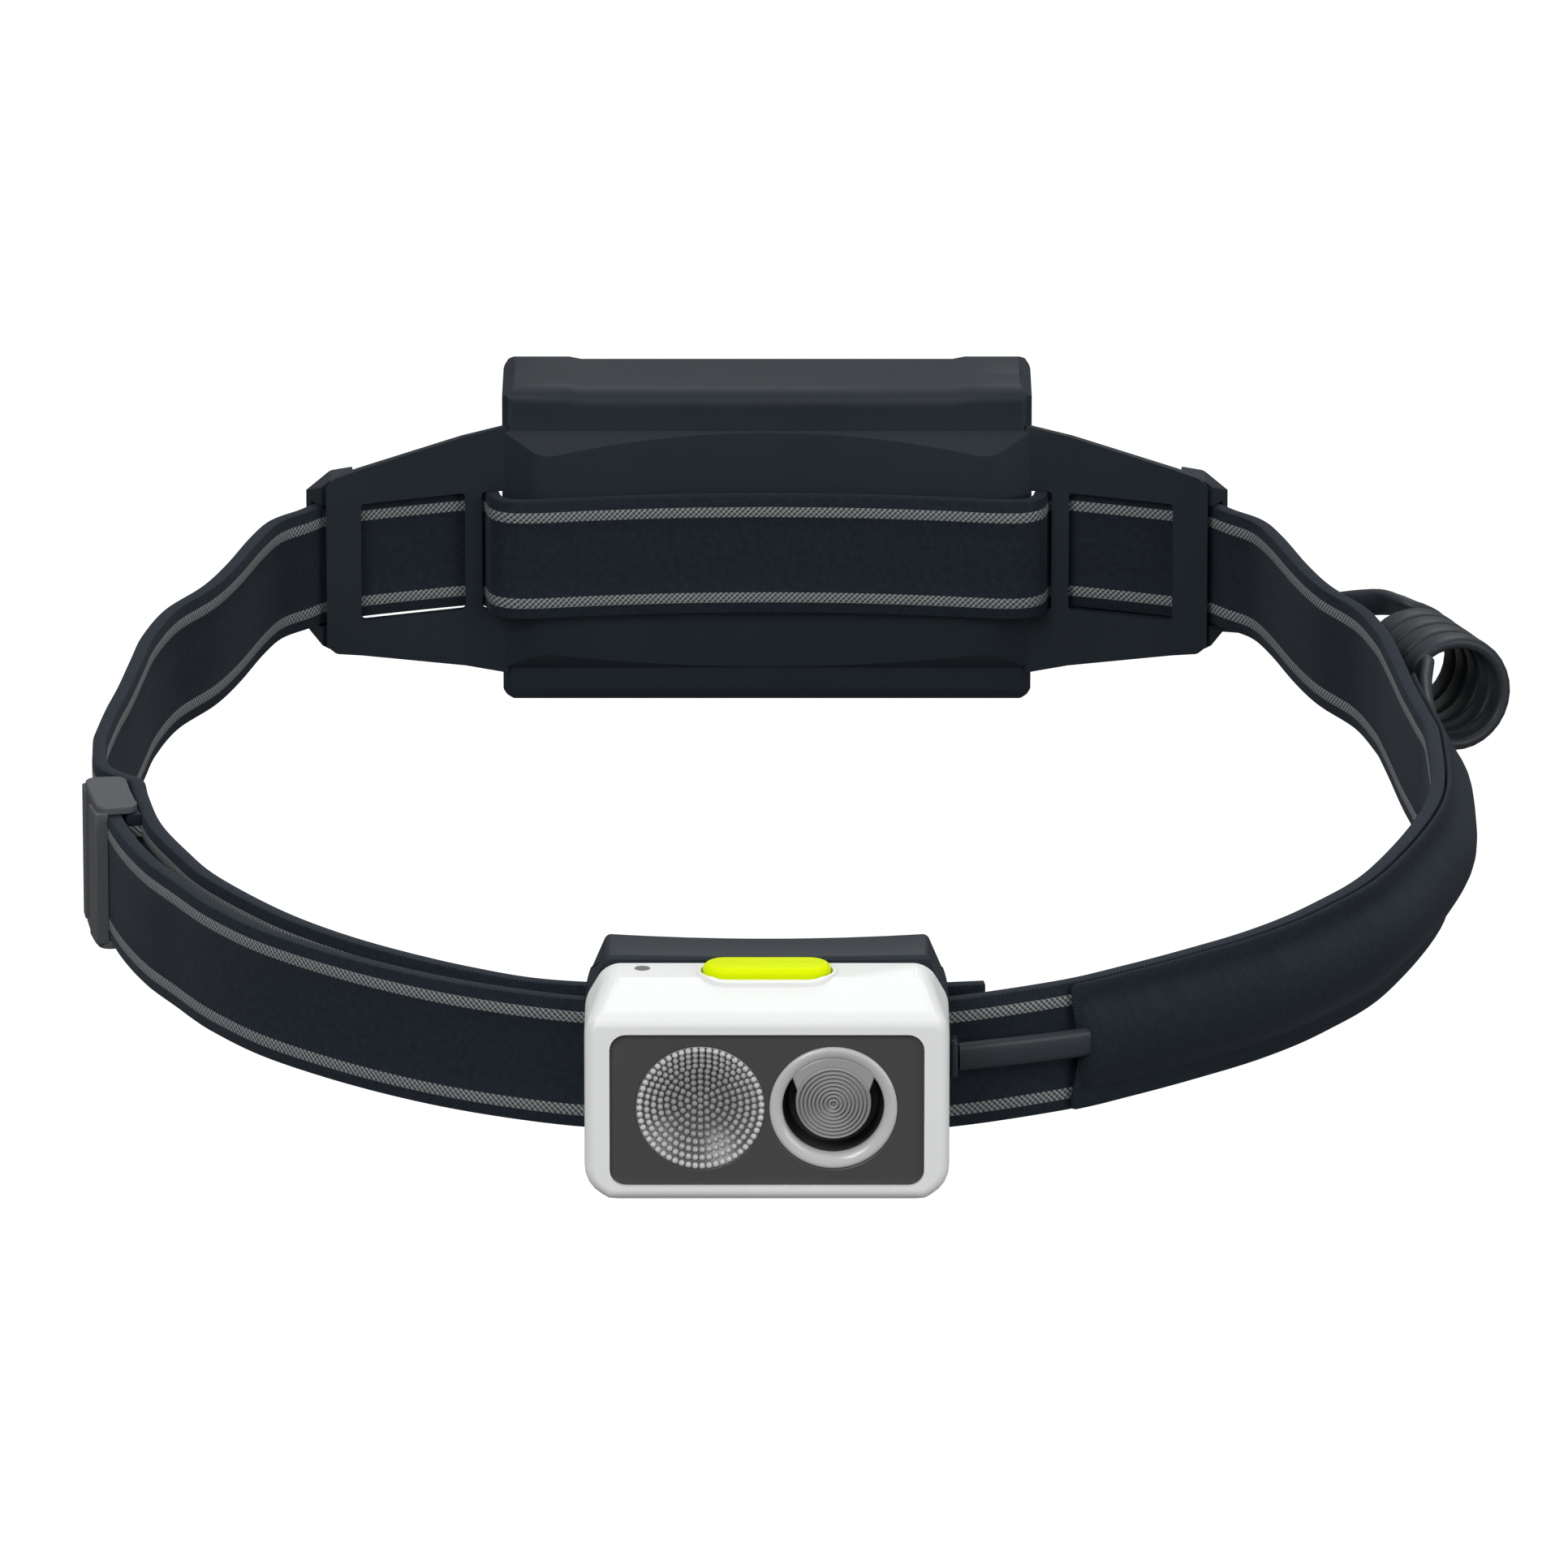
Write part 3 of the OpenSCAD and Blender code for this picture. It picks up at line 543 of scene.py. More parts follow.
# %% Finish the solids that stay
finishes = {
    "white_plastic": white_plastic, "dark_plastic": dark_plastic, "grey_plastic": grey_plastic,
    "bezel_plastic": bezel_plastic, "button_rubber": button_rubber, "clear_lens": clear_lens,
    "webbing": webbing, "sleeve_cloth": sleeve_cloth, "cable_rubber": cable_rubber,
    "seal_rubber": seal_rubber, "board": board_mask, "led_yellow": led_yellow, "steel": steel,
    "contact_brass": contact_brass, "cell_wrap": cell_wrap, "light_pipe": light_pipe,
}
for part in frame["record"]["subparts"]:
    mesh = nodes[part["node"]].data
    mesh.materials.clear()
    mesh.materials.append(finishes[part["material_slot"]])

# %% [markdown]
# ## The cable
# The cable is flat, 4.4 mm wide and 2 mm thick. It leaves the bracket, runs in the sleeve along the outside
# of the band, climbs on edge into a short coil that lets the band stretch, and runs on to the pack. It is
# one piece of about 0.56 m. The coil is wound by a loop; the rest follows listed points.

# %% Cable route
cable_front_route = [
    (28.4, -131.6, 2), (34, -129.8, 2), (41, -126.2, 1.6), (50, -120.6, 1), (60, -113, 0.5),
    (70, -104.2, 0), (79, -94.4, 0), (87, -83, 0), (94, -70.2, 0), (99.6, -56, 0), (104, -41, 0),
    (106.6, -22, 0), (107.4, -4, 0), (107, 12, 0), (105.2, 28, 0), (105.3, 36, 0.4), (104.8, 43, 1.6),
    (104.8, 49, 3.4), (105.4, 54, 5.2)]
cable_rear_route = [
    (101.6, 82.6, 6.2), (99, 86.4, 5.4), (95, 88.8, 4.4), (91.4, 91, 3.2), (89, 95.4, 1.4),
    (86.8, 102, -1.2), (84.6, 110, -4.4), (82.4, 119, -8), (79.6, 127, -10.4), (74, 132.8, -11.8),
    (66, 136, -12.2), (56, 138.2, -11.8), (47.4, 139.2, -10.6)]
up = Vector((0, 0, 1))
coil_front = Vector((112, 56.2, -1.8)) * MM
coil_angle = math.radians(21.5)
coil_along = Vector((-math.sin(coil_angle), math.cos(coil_angle), 0))
coil_right = Vector((math.cos(coil_angle), math.sin(coil_angle), 0))
coil_radius = 8.25 * MM
coil_pitch = 4.7 * MM
coil_start = math.radians(-42)
coil_turn = math.radians(4 * 360 + 318)
coil_lead_in = 2.6 * MM
coil_steps = 150
print("cable coil turns", round(coil_turn / math.tau, 2))

# %% [markdown]
# The coil is a helix about a level line beside the band. A flat cable winds with its broad face to the
# coil's axis, so each point also keeps the way that its broad face looks.

# %% Cable points
coil_points = []
coil_faces = []
for i in range(1, coil_steps + 1):
    share = i / coil_steps
    angle = coil_start - coil_turn * share
    out = up * math.cos(angle) + coil_right * math.sin(angle)
    along = coil_lead_in + coil_pitch * coil_turn * share / math.tau
    coil_points.append(coil_front + coil_along * along + out * coil_radius)
    coil_faces.append(-out)

curve_steps = 8
cable_spacing = 1.5 * MM
front_points = even_curve(smooth_curve(cable_front_route, curve_steps), cable_spacing)
rear_points = even_curve(smooth_curve(cable_rear_route, curve_steps), cable_spacing)
cable_points = front_points + coil_points + rear_points
cable_faces = [t.cross(up).normalized() for t in tangents(front_points)] + coil_faces
cable_faces += [t.cross(up).normalized() for t in tangents(rear_points)]
for i in range(1, len(cable_faces)):
    if cable_faces[i].dot(cable_faces[i - 1]) < 0:
        cable_faces[i] = -cable_faces[i]
print("cable route has", len(cable_points), "points")


# %% Ease the cable
def eased(vectors, reach, unit=True):
    """Each vector becomes the mean of its neighbours, which takes kinks and sudden twists out."""
    last = len(vectors) - 1
    out = []
    for i in range(last + 1):
        low, high = max(i - reach, 0), min(i + reach, last)
        mean = sum(vectors[low:high + 1], Vector((0, 0, 0))) / (high - low + 1)
        out.append(mean.normalized() if unit else mean)
    return out


cable_points = [cable_points[0]] + eased(cable_points, 1, unit=False)[1:-1] + [cable_points[-1]]
cable_faces = eased(cable_faces, 4)
cable_widths = [t.cross(n) for t, n in zip(tangents(cable_points), cable_faces)]

# %% Cable section
# The jacket's edges are full rounds, so the section is a stadium: two half circles of 1 mm radius.
cable_edge_centre = 1.2
cable_section = []
for side in (1, -1):
    for k in range(7):
        angle = math.radians(-90 + 30 * k)
        cable_section.append((side * math.sin(angle) * MM,
                              side * (cable_edge_centre + math.cos(angle)) * MM))
cable = finish_piece("cable", carry(cable_section, cable_points, cable_widths), cable_rubber, "band",
                     ["cable_front", "cable_coil", "cable_rear"])

# %% [markdown]
# ## The webbing
# The whole band is one strap. Its end is sewn to the adjuster, it passes through the bracket, under the
# sleeve, behind the wings and over the pack, back through the adjuster, and its tail lies inside the band.
# Only the stretch between the bracket and the adjuster has to give when the adjuster slides, so the strap
# is made in two pieces that meet inside the bracket, and the first one bends between the two bodies.

# %% Strap plan
strap_t = 2.3
front_right = [(0, -131.4), (14, -130.9), (27, -129.4), (44.3, -121.6), (54.2, -114.6), (64.2, -106.4),
               (74.5, -96.8), (84, -84.6), (94, -66.2), (104, -31.6), (105.3, 0), (104, 14), (102.5, 26),
               (101, 41), (99.7, 53)]
front_left = [(0, -131.4), (14, -130.9), (27, -129.4), (38.1, -125.4), (48, -120.4), (57.8, -113.7),
              (67.7, -105.3), (77.8, -94.6), (87, -80.2)]
rear_wave = [(99.7, 53), (96.5, 67.5), (91, 80), (87.5, 92), (84, 107.5), (81, 117), (76.5, 122.6)]
wing_run = [(75.6, 121.9), (72.6, 125.9), (66, 129.2), (56, 132.9), (49.6, 135), (47, 135.6),
            (45, 133.7), (44.6, 130.4), (42.6, 127.9), (38, 127.6), (28, 129.2), (14, 130.7), (0, 131.2)]
left_side = [(-101, 41), (-102.5, 26), (-104, 14), (-105.3, 0)]
cross_run = [(-104.15, 0), (-103.8, -10), (-102.6, -16), (-99.4, -20)]
tail_run = [(-97.5, -22), (-96.5, -30), (-94, -44), (-89.6, -57.5), (-84.4, -70.2), (-74, -87),
            (-63.9, -98.8), (-53.6, -107.8), (-43.6, -114.8), (-33.7, -119.8), (-20, -122), (0, -122.6),
            (20, -122.1), (33, -120.6)]


# %% Helpers for plan curves
def flat(points):
    """Plan points laid level on the band's middle height."""
    return [(x, y, 0) for x, y in points]


def mirrored(points):
    """The same plan points on the other side, in the other order."""
    return [(-x, y) for x, y in reversed(points)]


def inward(points, distance):
    """A plan curve moved to the left of its travel, which is towards the head."""
    return [p + distance * up.cross(t) for p, t in zip(points, tangents(points))]


half_t = strap_t / 2 * MM
arc_centre = Vector((28, -10, 0)) * MM
arc_radius = 133.8 * MM


def arc_points(radius, start, end, count):
    """Points on the adjuster's arc, between two angles in degrees."""
    out = []
    for i in range(count + 1):
        angle = math.radians(start + (end - start) * i / count)
        out.append(arc_centre + radius * Vector((math.cos(angle), math.sin(angle), 0)))
    return out

# %% [markdown]
# On the left, the strap follows an arc about the adjuster's hinge axis, so that the adjuster can slide
# along it. Beside the adjuster the strap is tucked inwards a little, to pass under the adjuster's bar.

# %% Strap on the left
slider_mid = 189.17
strap_spacing = 1.6 * MM
left_front = arc_points(arc_radius, slider_mid - 1, slider_mid + 20, 16)
left_front += smooth_curve(flat(mirrored(front_left)), curve_steps)
left_front = inward(eased(even_curve(left_front, strap_spacing), 3, unit=False), half_t)
tuck = 1.2 * MM
tuck_length = 34 * MM
travelled = 0.0
tucked = [left_front[0]]
for before, after in zip(left_front, left_front[1:]):
    travelled += (after - before).length
    fading = max(0, 1 - travelled / tuck_length)
    tucked.append(after + (arc_centre - after).normalized() * tuck * fading)
tucked[0] += (arc_centre - tucked[0]).normalized() * tuck
left_front = tucked
print("strap on the left in metres", round(curve_length(left_front), 3))

# %% The rest of the strap
rest = inward(smooth_curve(flat(front_right), curve_steps), half_t)
rest += inward(smooth_curve(flat(rear_wave), curve_steps), half_t)[1:]
rest += smooth_curve(flat(wing_run), curve_steps)[1:]
rest += smooth_curve(flat(mirrored(wing_run)), curve_steps)[1:]
rest += inward(smooth_curve(flat(mirrored(rear_wave) + left_side), curve_steps), half_t)[1:-1]
rest += smooth_curve(flat(cross_run + tail_run), curve_steps)
rest = eased(even_curve(rest, 1.2 * MM), 1, unit=False)
print("rest of the strap in metres", round(curve_length(rest), 3))

# %% Strap section
# The selvedges are rounded, and each reflective stripe is a woven-in ridge on both faces.
half_outline = [(0.8, 10), (1.0, 9.93), (1.08, 9.75), (1.08, 8.3), (1.16, 8.1), (1.16, 6.5),
                (1.06, 6.3), (1.03, 3), (1.03, -3), (1.06, -6.3), (1.16, -6.5), (1.16, -8.1),
                (1.08, -8.3), (1.08, -9.75), (1.0, -9.93), (0.8, -10)]
strap_section = [(x * MM, z * MM) for x, z in half_outline]
strap_section += [(-x * MM, z * MM) for x, z in reversed(half_outline)]

strap_left = finish_piece("strap_left", carry(strap_section, left_front, [up] * len(left_front)), webbing,
                          None, ["strap_front"])
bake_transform(strap_left, "slider", "band", start=(-0.100, -0.048, 0), end=(-0.066, -0.104, 0))
finish_piece("strap", carry(strap_section, rest, [up] * len(rest)), webbing, "band",
             ["strap_right", "strap_back", "strap_rear_left", "strap_tail"])
print("strap length in metres", round(curve_length(left_front) + curve_length(rest), 3))

# %% [markdown]
# The strap's end wraps the adjuster's bar and is sewn down inside the band, where only its short double
# layer shows.

# %% Sewn end
fold = arc_points(arc_radius - 3.4 * half_t - tuck, slider_mid + 4.1, slider_mid + 2.0, 4)
finish_piece("strap_fold", carry(strap_section, fold, [up] * len(fold)), webbing, "slider",
             ["strap_end_loop"])

# %% [markdown]
# ## The cable sleeve
# A tube of cloth is sewn along both edges onto the strap, with the cable inside. Its section is a thin
# wall: flat against the strap at the seams and bulging over the cable. The mouth towards the lamp is cut
# in a shallow curve, and the bulge fades out where the cable leaves at the other end.

# %% Sleeve section
# The sleeve starts at the fourth of the strap's plan points and ends after the thirteenth.
sleeve_from = 3 * curve_steps
sleeve_to = 12 * curve_steps + 6
sleeve_path = even_curve(smooth_curve(flat(front_right), curve_steps)[sleeve_from:sleeve_to], strap_spacing)
outer_side = [(0.15, 10.0), (0.75, 9.9), (1.05, 9.4), (1.1, 7.6), (1.15, 6.9), (2.1, 6.0), (3.6, 4.6),
              (4.7, 2.6), (5.2, 0), (4.7, -2.6), (3.6, -4.6), (2.1, -6.0), (1.15, -6.9), (1.1, -7.6),
              (1.05, -9.4), (0.75, -9.9), (0.15, -10.0)]
inner_side = [(0.1, -7.0), (0.5, -6.4), (1.6, -5.5), (3.0, -4.1), (4.0, -2.3), (4.45, 0), (4.0, 2.3),
              (3.0, 4.1), (1.6, 5.5), (0.5, 6.4), (0.1, 7.0)]
sleeve_section = [(x * MM, z * MM) for x, z in outer_side + inner_side]
sleeve_bm = carry(sleeve_section, sleeve_path, [up] * len(sleeve_path))
print("sleeve section has", len(sleeve_section), "points")

# %% [markdown]
# The plain tube then takes the cable's shape. It is a little tighter near the lamp, tapers over its last
# 20 mm, has faint creases, and its mouth is drawn forwards in a curve.

# %% Sleeve shape
flat_against = 1.2 * MM
tight_near = 60 * MM
taper_over = 20 * MM
mouth_over = 14 * MM
mouth_depth = 3.2 * MM
half_width = 10 * MM
along_layer = sleeve_bm.verts.layers.float["along"]
sleeve_length = curve_length(sleeve_path)
sleeve_directions = tangents(sleeve_path)
for vert in sleeve_bm.verts:
    travelled = vert[along_layer]
    gone = travelled / sleeve_length
    index = min(round(gone * (len(sleeve_path) - 1)), len(sleeve_path) - 1)
    direction = sleeve_directions[index]
    outward = direction.cross(up)
    off = (vert.co - sleeve_path[index]).dot(outward)
    left = sleeve_length - travelled
    growth = 0.78 + 0.22 * min(1, travelled / tight_near)
    growth *= 0.62 + 0.38 * math.sin(math.pi / 2 * min(1, left / taper_over))
    crease = 0.12 * MM * math.sin(travelled / (7 * MM)) * math.sin(vert.co.z / (2.2 * MM) + gone * 9)
    if off > flat_against:
        vert.co += outward * ((off - flat_against) * (growth - 1) + crease)
    near = max(0, 1 - travelled / mouth_over)
    vert.co += direction * mouth_depth * near * (1 - (vert.co.z / half_width) ** 2)
sleeve = finish_piece("cable_sleeve_cloth", sleeve_bm, sleeve_cloth, "band",
                      ["cable_sleeve"], None)
round_over = sleeve.modifiers.new("soft cloth", "SUBSURF")
round_over.levels = round_over.render_levels = 1
print("sleeve length in metres", round(sleeve_length, 3))

# %% [markdown]
# ## The lamp
# The housing is one white moulding. The plain solid already has its shape, so its faces are joined up and
# its corners are rounded. The shoulders and the front frame have a wide soft radius, which a bevel can't
# make where so many edges meet, so a few plane cuts shave each edge into a round. A Bevel modifier rounds
# the small edges that are left.

# %% Lamp housing
housing_bm = merged_copy("lamp_housing")
front_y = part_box("lamp_housing")[0][1]
top_z = 18.8 * MM


def plane_off(bm, point, first, second, radius, steps=5):
    """Rounds the edge between two faces with plane cuts, each one touching the round."""
    centre = point - radius * (first + second) / (1 + first.dot(second))
    for k in range(steps):
        normal = first.slerp(second, (k + 0.5) / steps)
        cut = bmesh.ops.bisect_plane(bm, geom=bm.verts[:] + bm.edges[:] + bm.faces[:], dist=0.000001,
                                     plane_co=centre + radius * normal, plane_no=normal, clear_outer=True)
        rim = [g for g in cut["geom_cut"] if isinstance(g, bmesh.types.BMEdge)]
        if rim:
            bmesh.ops.edgenet_fill(bm, edges=rim)


def on_outer_rim(co):
    """On the front face's outer outline, outside the panel opening."""
    beside = abs(co.x) > 23.5 * MM
    return abs(co.y - front_y) < 0.05 * MM and (beside or co.z > 13.5 * MM or co.z < -11.5 * MM)


# %% Round the front frame
forward = Vector((0, -1, 0))
brow_round = 3.0 * MM
frame_round = 1.7 * MM
front_rim = []
for edge in housing_bm.edges:
    if all(on_outer_rim(v.co) for v in edge.verts) and edge.calc_length() > 0.1 * MM:
        around = [f.normal.copy() for f in edge.link_faces if f.normal.dot(forward) < 0.9]
        if around:
            front_rim.append(((edge.verts[0].co + edge.verts[1].co) / 2, around[0]))
for point, around in front_rim:
    plane_off(housing_bm, point, around, forward, brow_round if around.z > 0.8 else frame_round)
print("rounded", len(front_rim), "edges of the front frame")

# %% Round the shoulders
sideways = Vector((1, 0, 0))
brow = Vector((0, -3.5, 8.2)).normalized()
shoulder = Vector((5.4, 0, 3.1)).normalized()
for side in (1, -1):
    turned_shoulder = Vector((side * shoulder.x, 0, shoulder.z))
    corner = Vector((side * 23.8 * MM, -144.8 * MM, top_z))
    lower = Vector((side * 26.9 * MM, -145 * MM, 13.4 * MM))
    plane_off(housing_bm, corner, up, turned_shoulder, 4.0 * MM)
    plane_off(housing_bm, corner, brow, turned_shoulder, 4.0 * MM)
    plane_off(housing_bm, lower, turned_shoulder, side * sideways, 6.0 * MM, 4)
bmesh.ops.recalc_face_normals(housing_bm, faces=housing_bm.faces)
housing = finish_piece("housing", housing_bm, white_plastic, "lamp", ["lamp_housing"], 40)
soften(housing, 0.35 * MM, 2, 35)
even_shade = housing.modifiers.new("even shade", "WEIGHTED_NORMAL")
even_shade.keep_sharp = True

# %% [markdown]
# The panel behind the lenses is a plain dark plate with two round openings, let into the front frame. Its
# shape is the plain solid's, with its edges softened.

# %% Dark panel
panel = finish_piece("panel", merged_copy("lamp_bezel"), bezel_plastic, "lamp",
                     ["lamp_bezel"], 40)
soften(panel, 0.2 * MM, 2, 40)

# %% [markdown]
# ## The two lenses
# The flood lens is a shallow dish set with small round beads that scatter the light. The beads stand in
# rings, about six more in each ring outwards, so they pack evenly. Each bead is a ball of few faces,
# because there are hundreds of them.

# %% Flood lens
lens_x = 9.8 * MM
lens_z = 1.0 * MM
lens_r = 9.4 * MM
lens_front = front_y + 0.45 * MM
rings = 9
bead_gap = lens_r / (rings + 0.4)


def dish(radius):
    """How far the dish lies behind its rim."""
    return 3.9 * MM * (1 - (radius / lens_r) ** 2)


bead_bm = bmesh.new()
bmesh.ops.create_uvsphere(bead_bm, u_segments=10, v_segments=6, radius=bead_gap * 0.47)
bead_mesh = bpy.data.meshes.new("bead")
bead_bm.to_mesh(bead_mesh)
bead_bm.free()
flood_bm = bmesh.new()
for ring in range(rings + 1):
    count = max(1, round(math.tau * ring * 0.97))
    for k in range(count):
        angle = math.tau * (k + 0.5 * (ring % 2)) / count
        radius = ring * bead_gap
        centre = Vector((-lens_x + radius * math.cos(angle), lens_front + dish(radius),
                         lens_z + radius * math.sin(angle)))
        placed = len(flood_bm.verts)
        flood_bm.from_mesh(bead_mesh)
        flood_bm.verts.ensure_lookup_table()
        bmesh.ops.translate(flood_bm, verts=flood_bm.verts[placed:], vec=centre)
finish_piece("flood_beads", flood_bm, clear_lens, "lamp", ["flood_lens"], None)

# %% Painted shade of the flood lens
# The beads are painted darker in the middle of the dish and lighter at its rim: painted shade and light.
net = Net(clear_lens.node_tree)
place = net.add("ShaderNodeTexCoord")
away = net.add("ShaderNodeVectorMath", operation="DISTANCE")
away.inputs[1].default_value = (-lens_x, lens_front, lens_z)
net.join(place.outputs["Object"], away.inputs[0])
outward = net.add("ShaderNodeMapRange")
outward.inputs["From Min"].default_value = 5.0 * MM
outward.inputs["From Max"].default_value = 9.2 * MM
net.join(away.outputs["Value"], outward.inputs["Value"])
# Painted shade and light: dark grey near the lens axis, light grey at the rim.
net.join(net.mix(outward.outputs[0], (0.42, 0.42, 0.42, 1), (0.85, 0.85, 0.85, 1)),
         net.nodes["Principled BSDF"].inputs["Base Color"])


# %% Turned parts of the lenses
def turned(name, outline, centre, material, stands_for=()):
    """Spins an outline of (radius, depth) points about the lens axis."""
    bm = bmesh.new()
    verts = [bm.verts.new((centre[0] + radius, centre[1] + depth, centre[2])) for radius, depth in outline]
    edges = [bm.edges.new(pair) for pair in zip(verts, verts[1:])]
    bmesh.ops.spin(bm, geom=verts + edges, cent=centre, axis=(0, 1, 0), angle=math.tau, steps=72,
                   use_merge=True)
    bmesh.ops.remove_doubles(bm, verts=bm.verts, dist=0.000002)
    bmesh.ops.recalc_face_normals(bm, faces=bm.faces)
    finish_piece(name, bm, material, "lamp", stands_for, 50)


flood_centre = (-lens_x, lens_front, lens_z)
spot_centre = (lens_x, lens_front, lens_z)
cup = [(radius * MM, dish(radius * MM) + 0.16 * MM) for radius in (9.4, 8.4, 7.2, 6, 4.8, 3.6, 2.4, 1.2, 0)]
turned("flood_cup", cup, flood_centre, cup_grey)
rim_outline = [(9.6 * MM, 1.2 * MM), (9.6 * MM, 0.45 * MM), (9.35 * MM, 0.35 * MM),
               (9.1 * MM, 0.45 * MM), (9.1 * MM, 1.2 * MM)]
turned("flood_rim", rim_outline, flood_centre, ringed_lens)

# %% [markdown]
# The spot lens is a clear ring that carries a ringed disc. Ring and disc join above, and a dark crescent
# opens between them below. The disc has nine turned ridges like ripples, and the crescent looks down
# into a dark well.

# %% Spot lens
disc_drop = 0.6 * MM
disc_centre = (lens_x, lens_front, lens_z + disc_drop)
disc_radius = 5.3 * MM
disc_depth = 0.6 * MM
disc_crown = 0.25 * MM
ripple_count = 9
ripple_height = 0.3 * MM
ripple_steps = 12 * ripple_count
ripples = [(0, 0.55 * MM)]
for k in range(1, ripple_steps + 1):
    share = k / ripple_steps
    ripples.append((disc_radius * share, disc_depth
                    - ripple_height * math.cos(ripple_count * math.tau * share)
                    - disc_crown * (1 - share ** 2)))
ripples += [(5.55 * MM, 0.75 * MM), (5.55 * MM, 2.6 * MM)]
turned("spot_disc", list(reversed(ripples)), disc_centre, ringed_lens, ["spot_lens"])
ring_outline = [(9.45 * MM, 2.4 * MM), (9.45 * MM, 0.35 * MM), (9.2 * MM, 0.05 * MM), (8.8 * MM, 0.0),
                (7.9 * MM, 0.35 * MM), (7.55 * MM, 0.7 * MM), (7.5 * MM, 2.4 * MM)]
# The ring's lighter grey is painted light.
turned("spot_ring", ring_outline, spot_centre, painted_light_lens)
well = [(9.4 * MM, 1.6 * MM), (7.6 * MM, 2.4 * MM), (6.6 * MM, 4.6 * MM), (0, 5.6 * MM)]
turned("spot_well", well, spot_centre, dark_well)

# %% [markdown]
# The bridge joins ring and disc above. It is a crescent between two arcs: a short one along the ring and
# a longer one round the disc.

# %% Bridge
ring_arc_r = 7.7 * MM
disc_arc_r = 5.4 * MM
bridge_bm = bmesh.new()
outer_arc = []
inner_arc = []
for k in range(25):
    turn = math.radians(38 + 104 * k / 24)
    outer_arc.append(bridge_bm.verts.new((lens_x + ring_arc_r * math.cos(turn), lens_front + 0.55 * MM,
                                          lens_z + ring_arc_r * math.sin(turn))))
    turn = math.radians(16 + 148 * k / 24)
    inner_arc.append(bridge_bm.verts.new((lens_x + disc_arc_r * math.cos(turn), lens_front + 0.7 * MM,
                                          lens_z + disc_drop + disc_arc_r * math.sin(turn))))
outer_edges = [bridge_bm.edges.new(pair) for pair in zip(outer_arc, outer_arc[1:])]
inner_edges = [bridge_bm.edges.new(pair) for pair in zip(inner_arc, inner_arc[1:])]
bmesh.ops.bridge_loops(bridge_bm, edges=outer_edges + inner_edges)
bmesh.ops.recalc_face_normals(bridge_bm, faces=bridge_bm.faces)
bmesh.ops.solidify(bridge_bm, geom=bridge_bm.faces[:], thickness=1.6 * MM)
bmesh.ops.recalc_face_normals(bridge_bm, faces=bridge_bm.faces)
bridge = finish_piece("spot_bridge", bridge_bm, ringed_lens, "lamp", (), 50)
soften(bridge, 0.25 * MM, 2, 50)

# %% [markdown]
# ## The button
# The button is a soft pill with a domed top. A block is stretched, its upright edges are rounded into full
# half rounds, and the rim of its top gets a generous radius.

# %% Button
cap_low, cap_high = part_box("button_cap")
button_half = 9.45 * MM
button_r = 3.3 * MM
button_y = -142.6 * MM
button_height = cap_high[2] - cap_low[2]
button_bm = bmesh.new()
bmesh.ops.create_cube(button_bm, size=1)
bmesh.ops.scale(button_bm, verts=button_bm.verts, vec=(2 * button_half, 2 * button_r, button_height))
bmesh.ops.translate(button_bm, verts=button_bm.verts,
                    vec=(0, button_y, (cap_high[2] + cap_low[2]) / 2))
upright = [e for e in button_bm.edges if abs(e.verts[0].co.z - e.verts[1].co.z) > MM]
bmesh.ops.bevel(button_bm, geom=upright, offset=button_r * 0.995, offset_type="OFFSET", segments=12,
                profile=0.5, affect="EDGES", material=-1)
rim = [e for e in button_bm.edges if all(v.co.z > cap_high[2] - 0.01 * MM for v in e.verts)]
bmesh.ops.bevel(button_bm, geom=rim, offset=1.0 * MM, offset_type="OFFSET", segments=5, profile=0.5,
                affect="EDGES", material=-1)
finish_piece("button", button_bm, button_rubber, "button", ["button_cap"], 60)

# %% [markdown]
# ## The bracket
# The bracket is a dark moulding that lies on the forehead and carries the lamp on its hinge. Its shape is
# the plain solid's, so its faces are joined up and all its edges are rounded. The corners beside the lamp
# are rounded first, and more widely.


# %% Corners of the bracket
def round_edges(bm, edges, radius, segments=5):
    """Rounds the given edges by a radius, as far as the faces beside them allow."""
    bmesh.ops.bevel(bm, geom=edges, offset=radius, offset_type="OFFSET", segments=segments, profile=0.5,
                    affect="EDGES", material=-1, clamp_overlap=True)


bracket_bm = merged_copy("bracket")
for half_width, lowest, radius in ((23.8 * MM, 17 * MM, 0.7 * MM), (27 * MM, 11.8 * MM, 2.2 * MM)):
    corner_edges = [e for e in bracket_bm.edges
                    if len(e.link_faces) == 2 and e.calc_face_angle(0) > math.radians(20)
                    and all(abs(abs(v.co.x) - half_width) < 0.2 * MM and v.co.z > lowest for v in e.verts)]
    round_edges(bracket_bm, corner_edges, radius)
    print("rounded", len(corner_edges), "corners of the bracket")

# %% Bracket
# The top dips a little towards the middle. Upright cuts give it enough points to bend.
dip = 0.25 * MM
dip_half_width = 23 * MM
for x in range(-20, 21, 4):
    bmesh.ops.bisect_plane(bracket_bm, geom=bracket_bm.verts[:] + bracket_bm.edges[:] + bracket_bm.faces[:],
                           dist=0.00001, plane_co=(x * MM, 0, 0), plane_no=(1, 0, 0))
for vert in bracket_bm.verts:
    if vert.co.z > 19.2 * MM:
        vert.co.z -= dip * max(0, 1 - (vert.co.x / dip_half_width) ** 2)
bracket = finish_piece("forehead_bracket", bracket_bm, dark_plastic, "band",
                       ["bracket"], 40)
soften(bracket, 0.3 * MM, 2, 35)

# %% [markdown]
# ## The adjuster
# The adjuster is one grey moulding: two rounded end plates joined by bars, with slots that the webbing
# passes through. Plates and bars follow the band's curve, so each is a rectangle spun through a small
# angle about the curve's centre, and then rounded.


